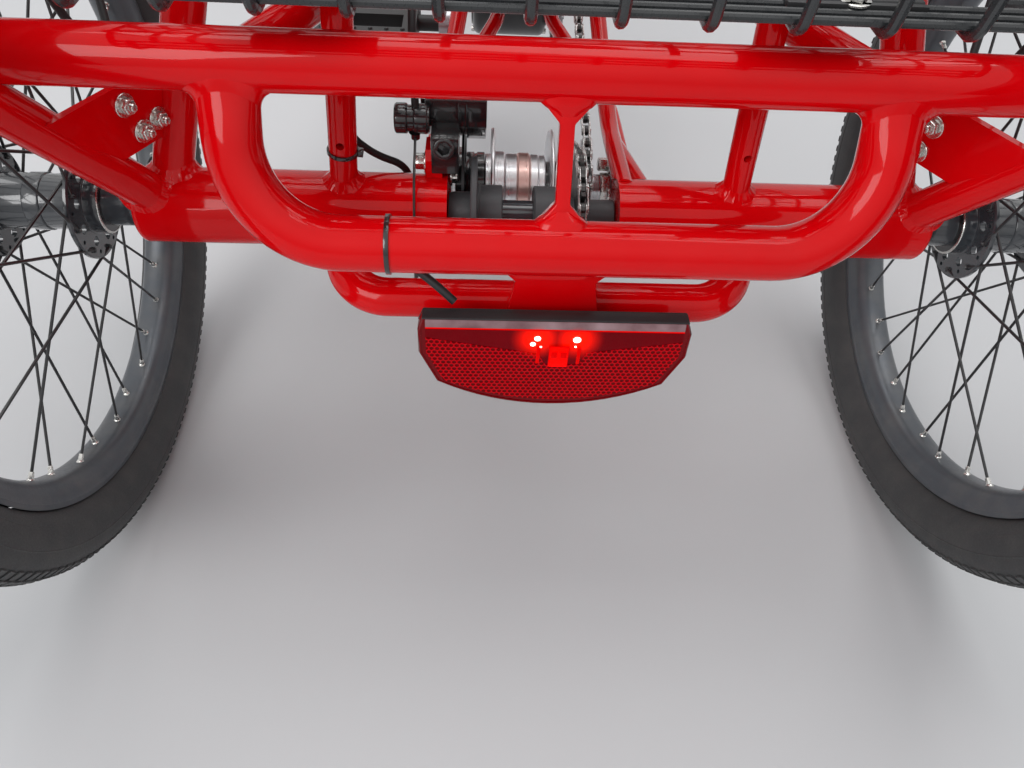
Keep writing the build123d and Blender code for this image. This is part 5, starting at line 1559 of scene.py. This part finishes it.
def caliper_body():
    """The rear caliper: two halves, closed over the rotor, on an arm with an adjuster barrel."""
    body = Shape()
    side = [(20, 53), (34, 40), (58, 22), (72, 30), (66, 62), (48, 78), (20, 72)]
    for low, high in ((-78, -56.4), (-51.6, -38)):
        slab(body, side, rear(0, 0, 0), Y, Z, low, high)
    # Closed over the rotor's rim
    slab(body, [(20, 53), (34, 40)] + arc(HUB_AT, 75, 120.4, 100, 6)
         + [(66, 62), (48, 78), (20, 72)], rear(0, 0, 0), Y, Z, -57, -51)
    box(body, rear(-65, 14, 43), (18, 28, 26))
    turned(body, [(-96.4, 4.0), (-96.4, 7.6), (-95.4, 8.5), (-75.0, 8.5)], BRAKE_BARREL, X, 32)
    piece("rear_caliper_body", body, ["gloss_black"], "frame",
          bevel=1.4, instead=["rear_caliper"], sharp=40)


def caliper_details():
    """Screws, barrel rings and the cable stop of the rear caliper."""
    brake = Shape()
    socket_head(brake, rear(-65.5, 0.0, 49.0), Vector((0, -1, 0.35)), 7.2, 2.4)
    socket_head(brake, rear(-78.0, 40.0, 62.0), -X, 6.0, 4.0)
    socket_head(brake, rear(-78.0, 54.0, 34.0), -X, 6.0, 4.0)
    for low, high in ((-97.6, -89.0), (-85.4, -76.0)):
        turned(brake, [(low, 6.0), (low, 8.6), (low + 1.0, 9.6), (high - 1.0, 9.6), (high, 8.6),
                       (high, 6.0)], BRAKE_BARREL, X, 20)
    turned(brake, [(0.0, 4.6), (0.0, 3.2), (-4.5, 3.0), (-5.0, 1.6)], rear(-84.5, 12.5, 52.8), Z,
           12)
    piece("rear_brake_details", brake, ["gloss_black", "plastic"], "frame",
          bevel=0.3)


def cable_core():
    """The bare end of the brake cable below its stop."""
    core = Shape()
    tube(core, rounded([rear(-84.5, 13, 52), rear(-84.6, -14, 34), rear(-84.5, -31, 8),
                        rear(-84.5, -36, -24)], [30, 24], 8), 0.9, 8)
    turned(core, [(0, 0.9), (0.3, 1.5), (7.0, 1.5), (7.4, 0.9)], rear(-84.5, -36, -23), -Z, 8)
    piece("brake_cable_core", core, ["dark_steel"], "frame")


def cable_ties():
    """Ties that hold the leads to the bumper loop and the left upright."""
    ties = Shape()
    band(ties, rear(-93.0, -95.6, 46.1), X, 16.0, 2.8, Vector((0, 1.0, -0.3)))
    upright = rear(-134, 0, 0) - rear(-121, -6.5, 160)
    band(ties, rear(-130.2, -1.9, 46.5), upright, 9.2, 2.6, X)
    piece("cable_ties", ties, ["gloss_black"], "frame", bevel=0.3)


class TRIKE_OT_fittings(bpy.types.Operator):
    """Add nuts, bolts, cable ties and the details of the rear brake"""

    bl_idname = "trike.fittings"
    bl_label = "Fittings"

    def execute(self, context):
        gusset_nuts()
        dropout_bolts()
        caliper_body()
        caliper_details()
        cable_core()
        cable_ties()
        return {"FINISHED"}


# Seat, grips and lights


def saddle_half(t):
    """Half width of the saddle from its back, 0, to its nose, 1."""
    knots = ((0.0, 74), (0.06, 94), (0.18, 106), (0.32, 104), (0.46, 78), (0.58, 50),
             (0.72, 34), (0.86, 29), (0.95, 25), (1.0, 15))
    for i in range(len(knots) - 1):
        (a, wa), (b, wb) = knots[i], knots[i + 1]
        if t <= b:
            before, after = knots[max(i - 1, 0)], knots[min(i + 2, len(knots) - 1)]
            slope_a = (wb - before[1]) / (b - before[0])
            slope_b = (after[1] - wa) / (after[0] - a)
            u, gap = (t - a) / (b - a), b - a
            return ((2 * u**3 - 3 * u**2 + 1) * wa + (u**3 - 2 * u**2 + u) * gap * slope_a
                    + (3 * u**2 - 2 * u**3) * wb + (u**3 - u**2) * gap * slope_b)
    return knots[-1][1]


class TRIKE_OT_saddle(bpy.types.Operator):
    """Shape the padded saddle"""

    bl_idname = "trike.saddle"
    bl_label = "Saddle"

    def execute(self, context):
        low, high = (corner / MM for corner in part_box("saddle"))
        centre_x, length = (low.x + high.x) / 2, high.y - low.y
        stations, around = 40, 48
        rings = []
        for i in range(stations + 1):
            t = i / stations
            half = saddle_half(t) * (high.x - low.x) / 216
            end = min(1.0, sqrt(max(0.0, 1 - ((t - 0.06) / 0.06) ** 2)) if t < 0.06 else 1.0)
            end = min(end, sqrt(max(0.0, 1 - ((t - 0.94) / 0.06) ** 2)) if t > 0.94 else end)
            end = max(end, 0.25)
            crown = high.z - 3 - 9 * sin(pi * min(1, t * 1.1)) ** 2 - 12 * max(0, t - 0.6) / 0.4
            skirt = low.z + 3 + 22 * max(0.0, t - 0.35)
            groove = 7 * max(0.0, 1 - abs(t - 0.55) / 0.42)
            section = []
            for j in range(around):
                a = 2 * pi * j / around
                cx, sz = cos(a), sin(a)
                x = half * abs(cx) ** 0.75 * (1 if cx >= 0 else -1)
                if sz >= 0:
                    z = crown - (1 - sz**0.62) * (crown - skirt) * 0.72
                    z -= groove * max(0.0, 1 - abs(x) / 13) ** 2
                else:
                    z = skirt + (1 - abs(sz) ** 0.5) * (crown - skirt) * 0.28
                section.append(Vector((centre_x + x * end, low.y + length * t, z * end
                                       + (1 - end) * (crown + skirt) / 2)))
            rings.append(section)
        shape = Shape()
        bridge(shape, rings)
        seat = piece("saddle_pad", shape, ["cover"], "seat", sharp=180,
                     instead=["saddle"])
        return {"FINISHED"}


def corners(width, height, radius):
    """The outline of a rectangle with round corners."""
    a, b = width / 2 - radius, height / 2 - radius
    line = []
    for x, y, start in ((a, b, 0), (-a, b, 90), (-a, -b, 180), (a, -b, 270)):
        line += arc((x, y), radius, start, start + 90, 5)
    return line


def grip_sleeves():
    """The grips, ribbed round from end to end."""
    low, high = (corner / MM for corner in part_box("grips"))
    sleeves = Shape()
    for side in (-1, 1):
        outer = Vector((side * high.x, low.y + 10, low.z + 17))
        inner = Vector((side * 208, high.y - 14, high.z - 17))
        way = (inner - outer).normalized()
        length = (inner - outer).length
        profile = [(0, 10.0), (0, 15.4), (2, 16.2), (5, 16.2), (6, 15.2)]
        at = 6.0
        while at < length - 12:
            profile += [(at, 14.6), (at + 1.2, 15.4), (at + 2.6, 15.4), (at + 3.8, 14.6)]
            at += 4.6
        profile += [(length - 8, 15.2), (length - 6, 16.0), (length - 1, 16.0), (length, 12.0)]
        turned(sleeves, profile, outer, way, 40)
    piece("grip_sleeves", sleeves, ["grip"], "handlepost",
          instead=["grips"], sharp=50)


def display_glass():
    """Glass over the display, a raised frame round it and three keys below."""
    up, face = Vector((0, 0.8, 0.6)), Vector((0, -0.6, 0.8))
    top = Vector((0, 259.7 - 14, 1029.8 + 40)) + face * 14
    panel = Shape()
    slab(panel, corners(72, 33, 4), top + up * 5, X, up, -0.5, 0.7)
    piece("display_glass", panel, ["glass"], "handlepost", bevel=0.3)
    trim = Shape()
    outer, inner = corners(77, 38, 6), corners(73, 34, 4.4)
    rings = [[top + up * 5 + X * x + up * y + face * z for x, y in line]
             for z, line in ((-0.5, outer), (0.9, outer), (1.2, corners(75, 36, 5.2)),
                             (0.9, inner), (-0.5, inner))]
    bridge(trim, rings, closed=True)
    for x in (-18, 0, 18):
        slab(trim, corners(12, 6, 2.6), top + up * -19 + X * x, X, up, -0.5, 1.3)
    piece("display_frame", trim, ["plastic"], "handlepost", bevel=0.2)


def head_light():
    """A domed lens in a bezel."""
    front = Vector((0, 513.5, 575.1))
    glass, bezel = Shape(), Shape()
    turned(glass, [(-1.0, 25.0), (0.6, 25.0), (2.4, 21.0), (3.8, 13.0), (4.3, 2.0)], front, Y, 56)
    piece("head_light_glass", glass, ["lamp_glass"], "steering")
    turned(bezel, [(-5.0, 26.2), (-4.0, 27.8), (0.8, 27.8), (1.6, 26.8), (0.8, 24.8),
                   (-1.0, 24.8)], front, Y, 56, closed=True)
    piece("head_light_bezel", bezel, ["gloss_black"], "steering")


class TRIKE_OT_controls(bpy.types.Operator):
    """Rib the grips, glaze the display and the head light"""

    bl_idname = "trike.controls"
    bl_label = "Controls"

    def execute(self, context):
        grip_sleeves()
        display_glass()
        head_light()
        return {"FINISHED"}


SEAT_ANGLE = radians(71.1)
SEAT_UP = Vector((0, -cos(SEAT_ANGLE), sin(SEAT_ANGLE)))
SEAT_BEHIND = Vector((0, -SEAT_UP.z, SEAT_UP.y))


def battery_trims():
    """The battery's two seams, its base and top, a lock and the charging socket's cover."""
    pack = CRANK + SEAT_BEHIND * 76.5
    trims, lock = Shape(), Shape()
    for low, high, grow in ((44, 58, 1.2), (96, 97.4, 0.8), (286, 287.4, 0.8), (312, 326, 1.2)):
        slab(trims, corners(71 + grow, 96 + grow, 18.4), pack, X, SEAT_BEHIND, -high, -low)
    slab(trims, corners(20, 30, 5), pack + SEAT_UP * 150 + X * 35.2, SEAT_BEHIND, SEAT_UP, -1.4, 1.4)
    piece("battery_trims", trims, ["plastic"], "frame", bevel=0.4)
    turned(lock, [(-1.0, 9.0), (1.6, 9.0), (2.2, 8.0), (2.2, 4.6), (1.4, 4.2), (1.4, 0.5)],
           pack + SEAT_UP * 150 - X * 35.4, -X, 32)
    # The key slot is a black bar in the silver lock: painted shade where the keyhole is.
    box(lock, pack + SEAT_UP * 150 - X * 37.0, (0.8, 1.4, 6.0), 1)
    piece("battery_lock", lock, ["silver", "gloss_black"], "frame", bevel=0.2)


def motor_covers():
    """The motor's side covers with their screws."""
    low, high = (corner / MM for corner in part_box("mid_motor"))
    hub = rear(0, 500.0, -40.0)
    covers, screws = Shape(), Shape()
    for side, x in ((-1, low.x), (1, high.x)):
        way = X * side
        centre = Vector((x, hub.y, hub.z))
        turned(covers, [(-1.0, 46.0), (1.2, 46.0), (1.8, 45.2), (1.8, 30.0), (1.0, 28.8),
                        (1.0, 12.0), (1.6, 11.0), (1.6, 0.5)], centre, way, 64)
        for i in range(6):
            a = 2 * pi * i / 6
            spot = centre + Vector((0, cos(a), sin(a))) * 51.0
            socket_head(screws, spot, way, 3.2, 1.8, 0, 1)
    piece("motor_covers", covers, ["gloss_black"], "frame", bevel=0.3)
    # The sockets of the silver screws take black plastic: painted shade in the recesses.
    piece("motor_screws", screws, ["silver", "plastic"], "frame")


def crank_caps():
    """Dust caps at the cranks' ends."""
    caps = Shape()
    for side in (-1, 1):
        turned(caps, [(-1.0, 12.0), (1.2, 12.0), (1.9, 11.2), (2.3, 6.0), (2.4, 0.5)],
               CRANK + X * side * 81.0, X * side, 40)
    piece("crank_caps", caps, ["gloss_black"], "cranks")


def pedal_trims():
    """The pedals' reflectors and the studs of their treads."""
    for name, side in (("left", -1), ("right", 1)):
        centre = CRANK + Vector((side * 146.0, side * 165.0, 0))
        lens, studs = Shape(), Shape()
        for end in (-1, 1):
            box(lens, centre + Y * end * 45.4, (50, 1.8, 12))
            for face in (-1, 1):
                for step in range(6):
                    spot = centre + Vector((side * (step - 2.5) * 14.0, end * 40.0, face * 11.0))
                    turned(studs, [(-0.5, 2.2), (0.6, 2.0), (1.4, 1.2), (1.5, 0.2)], spot,
                           Z * face, 10)
        piece(name + "_pedal_reflectors", lens, ["amber"], name + "_pedal",
              bevel=0.5)
        piece(name + "_pedal_studs", studs, ["plastic"], name + "_pedal")


def seat_clamp():
    """Two ears with a bolt, and the lever that closes them."""
    clamp = CRANK + SEAT_UP * 327
    ears, lever = Shape(), Shape()
    for side in (-1, 1):
        slab(ears, corners(16, 20, 5), clamp + SEAT_BEHIND * 29 + X * side * 5.5, SEAT_BEHIND,
             SEAT_UP, -2.5, 2.5)
    bolt = clamp + SEAT_BEHIND * 31
    turned(ears, [(-14, 1.0), (-14, 3.0), (11, 3.0), (11, 6.0), (17, 6.0), (18, 5.0), (18, 1.0)],
           bolt, X, 24)
    turned(lever, [(-6.5, 5.0), (-6.5, 7.4), (6.5, 7.4), (6.5, 5.0)], bolt - X * 15.5, SEAT_UP, 24)
    route = [clamp + SEAT_BEHIND * behind + X * x
             for behind, x in ((31, -17), (27, -27), (-2, -30), (-26, -24))]
    tube(lever, rounded(route, [8, 16], 8), 3.4, 14)
    piece("seat_clamp_ears", ears, ["alloy"], "frame", bevel=0.5)
    piece("seat_clamp_lever", lever, ["gloss_black"], "frame", bevel=0.4)


def fold_latch():
    """The latch on the rear hinge plate's free side."""
    latch = Shape()
    slab(latch, [(-5, -38), (5, -38), (7, -8), (7, 30), (4, 36), (-4, 36), (-7, 30), (-7, -8)],
         rear(38.5, 670.0, 62.0), Y, Z, -4.5, 4.5)
    turned(latch, [(-6, 4.0), (-6, 8.5), (6, 8.5), (6, 4.0)], rear(38.5, 670.0, 84.0), X, 32)
    piece("fold_latch", latch, ["gloss_black"], "frame", bevel=0.9)


class TRIKE_OT_details(bpy.types.Operator):
    """Add covers, caps, clamps, the battery's trims and the pedals' reflectors"""

    bl_idname = "trike.details"
    bl_label = "Details"

    def execute(self, context):
        battery_trims()
        motor_covers()
        crank_caps()
        pedal_trims()
        seat_clamp()
        fold_latch()
        return {"FINISHED"}


# Studio


class StageSettings(bpy.types.PropertyGroup):
    """Floor and light of the studio."""

    floor: bpy.props.FloatVectorProperty(
        name="Floor", description="Colour of the studio floor", subtype="COLOR", size=3,
        min=0, max=1, default=(0.56, 0.56, 0.565))
    key: bpy.props.FloatProperty(
        name="Key light", description="Power of the large light overhead", unit="POWER",
        min=0, max=500, default=70.0)
    horizon: bpy.props.FloatProperty(
        name="Horizon", description="Brightness of the backdrop at the horizon, white being 1",
        subtype="FACTOR", min=0, max=1, default=0.5)
    fill: bpy.props.FloatProperty(
        name="World light", description="Strength of the even light all round", min=0, max=3,
        default=0.56)


FLOOR_R = 60.0
FLOOR_SIDES = 96
CAMERA_LENS = 27.49
CAMERA_AT = (-0.043, -1.040, 0.5818)
CAMERA_RIGHT = Vector((0.9988, -0.0195, 0.0460))
CAMERA_UP = Vector((-0.0159, 0.7480, 0.6630))


def seen_rays(tree):
    """1 for what is seen, straight or in paint, metal and clear plastic."""
    rays = tree.nodes.new("ShaderNodeLightPath").outputs
    share = worked(tree, "MAXIMUM", rays["Is Camera Ray"], rays["Is Glossy Ray"])
    return worked(tree, "MAXIMUM", share, rays["Is Transmission Ray"])


def studio_floor(settings):
    """A wide pale floor that runs into the backdrop."""
    mesh = bpy.data.meshes.new("floor")
    edge = ring(Vector((0, 0, 0)), X, Y, FLOOR_R, FLOOR_SIDES)
    mesh.from_pydata(edge, [], [tuple(range(FLOOR_SIDES))])
    floor = put("floor", mesh)
    look = bpy.data.materials.new("floor_paint")
    look.use_nodes = True
    tree = look.node_tree
    shader = tree.nodes["Principled BSDF"]
    shader.inputs["Roughness"].default_value = 0.7
    shader.inputs["Base Color"].default_value = (*settings.floor, 1)
    # Far off the floor takes the backdrop's own brightness, so that no edge shows
    away = worked(tree, "LENGTH", object_place(tree), kind="VectorMath", out=1)
    fade = ranged(tree, away, 1.6, 6.5, form="SMOOTHSTEP")
    blend = tree.nodes.new("ShaderNodeMixShader")
    feed(tree, blend.inputs["Fac"], worked(tree, "MULTIPLY", fade, seen_rays(tree)))
    feed(tree, blend.inputs[1], shader.outputs["BSDF"])
    feed(tree, blend.inputs[2], fed(tree, "Emission", "Emission", Strength=settings.horizon))
    tree.links.new(blend.outputs["Shader"], tree.nodes["Material Output"].inputs["Surface"])
    mesh.materials.append(look)


def studio_world(scene, settings):
    """Even light all round, and the backdrop that is seen."""
    world = bpy.data.worlds.new("studio")
    world.use_nodes = True
    tree = world.node_tree
    ground = tree.nodes["Background"]
    ground.inputs["Color"].default_value = (0.93, 0.96, 1.0, 1)
    ground.inputs["Strength"].default_value = settings.fill
    # What is seen, also in paint and metal, is pale at the horizon and white overhead
    height = fed(tree, "SeparateXYZ", "Z", Vector=fed(tree, "TexCoord", "Generated"))
    white = fed(tree, "Background", "Background", Color=(1, 1, 1, 1),
                Strength=ranged(tree, height, 0.0, 0.55, settings.horizon, 1.0))
    mix = tree.nodes.new("ShaderNodeMixShader")
    feed(tree, mix.inputs["Fac"], seen_rays(tree))
    feed(tree, mix.inputs[1], ground.outputs["Background"])
    feed(tree, mix.inputs[2], white)
    tree.links.new(mix.outputs["Shader"], tree.nodes["World Output"].inputs["Surface"])
    scene.world = world


def studio_lamps(scene, settings):
    """A large lamp overhead and a smaller one behind."""
    for name, at, aim, size, power in (
            ("overhead", (0.3, 0.4, 3.2), (0, -0.2, 0.3), (3.4, 2.4), settings.key),
            ("behind", (-1.6, -2.6, 2.0), (0, -0.5, 0.3), (1.6, 1.6), settings.key * 0.6)):
        lamp = bpy.data.lights.new(name, "AREA")
        lamp.shape = "RECTANGLE"
        lamp.size, lamp.size_y = size
        lamp.energy = power
        light = bpy.data.objects.new(name, lamp)
        way = Vector(aim) - Vector(at)
        turn = way.to_track_quat("-Z", "Y").to_matrix()
        light.matrix_world = Matrix.Translation(at) @ turn.to_4x4()
        scene.collection.objects.link(light)


def photo_camera(scene):
    """The camera at the photograph's place and angle."""
    camera = bpy.data.cameras.new("camera")
    camera.lens = CAMERA_LENS
    camera.sensor_width = 36.0
    camera.clip_start = 0.01
    eye = bpy.data.objects.new("camera", camera)
    back = CAMERA_RIGHT.cross(CAMERA_UP).normalized()
    up = back.cross(CAMERA_RIGHT).normalized()
    turn = Matrix((CAMERA_RIGHT.normalized(), up, back)).transposed()
    eye.matrix_world = Matrix.Translation(CAMERA_AT) @ turn.to_4x4()
    scene.collection.objects.link(eye)
    scene.camera = eye


class TRIKE_OT_stage(bpy.types.Operator):
    """Set the floor, the lights and the camera"""

    bl_idname = "trike.stage"
    bl_label = "Studio"

    def execute(self, context):
        settings = context.scene.trike_stage
        scene = context.scene
        scene.view_settings.view_transform = "Standard"
        studio_floor(settings)
        studio_world(scene, settings)
        studio_lamps(scene, settings)
        photo_camera(scene)
        return {"FINISHED"}


class TRIKE_PT_panel(bpy.types.Panel):
    """The tricycle's settings and steps."""

    bl_label = "Folding Tricycle"
    bl_idname = "TRIKE_PT_panel"
    bl_space_type = "VIEW_3D"
    bl_region_type = "UI"
    bl_category = "Tricycle"

    def draw(self, context):
        for settings in SETTINGS:
            group = getattr(context.scene, settings)
            for name in group.__annotations__:
                self.layout.prop(group, name)
        for step in STEPS:
            self.layout.operator(step.bl_idname)


SETTINGS = {
    "trike_finish": FinishSettings,
    "trike_wheels": WheelSettings,
    "trike_lamp": LampSettings,
    "trike_basket": BasketSettings,
    "trike_stage": StageSettings,
}
STEPS = [
    TRIKE_OT_finishes, TRIKE_OT_wheels, TRIKE_OT_bumper, TRIKE_OT_welds, TRIKE_OT_chains,
    TRIKE_OT_tail_light, TRIKE_OT_basket, TRIKE_OT_drive, TRIKE_OT_fittings, TRIKE_OT_saddle,
    TRIKE_OT_controls, TRIKE_OT_details, TRIKE_OT_stage,
]
CLASSES = [*SETTINGS.values(), *STEPS, TRIKE_PT_panel]


def register():
    for one in CLASSES:
        bpy.utils.register_class(one)
    for name, settings in SETTINGS.items():
        setattr(bpy.types.Scene, name, bpy.props.PointerProperty(type=settings))


def unregister():
    for name in SETTINGS:
        delattr(bpy.types.Scene, name)
    for one in reversed(CLASSES):
        bpy.utils.unregister_class(one)


def main():
    register()
    for step in STEPS:
        group, name = step.bl_idname.split(".")
        getattr(getattr(bpy.ops, group), name)()


if __name__ == "__main__":
    main()
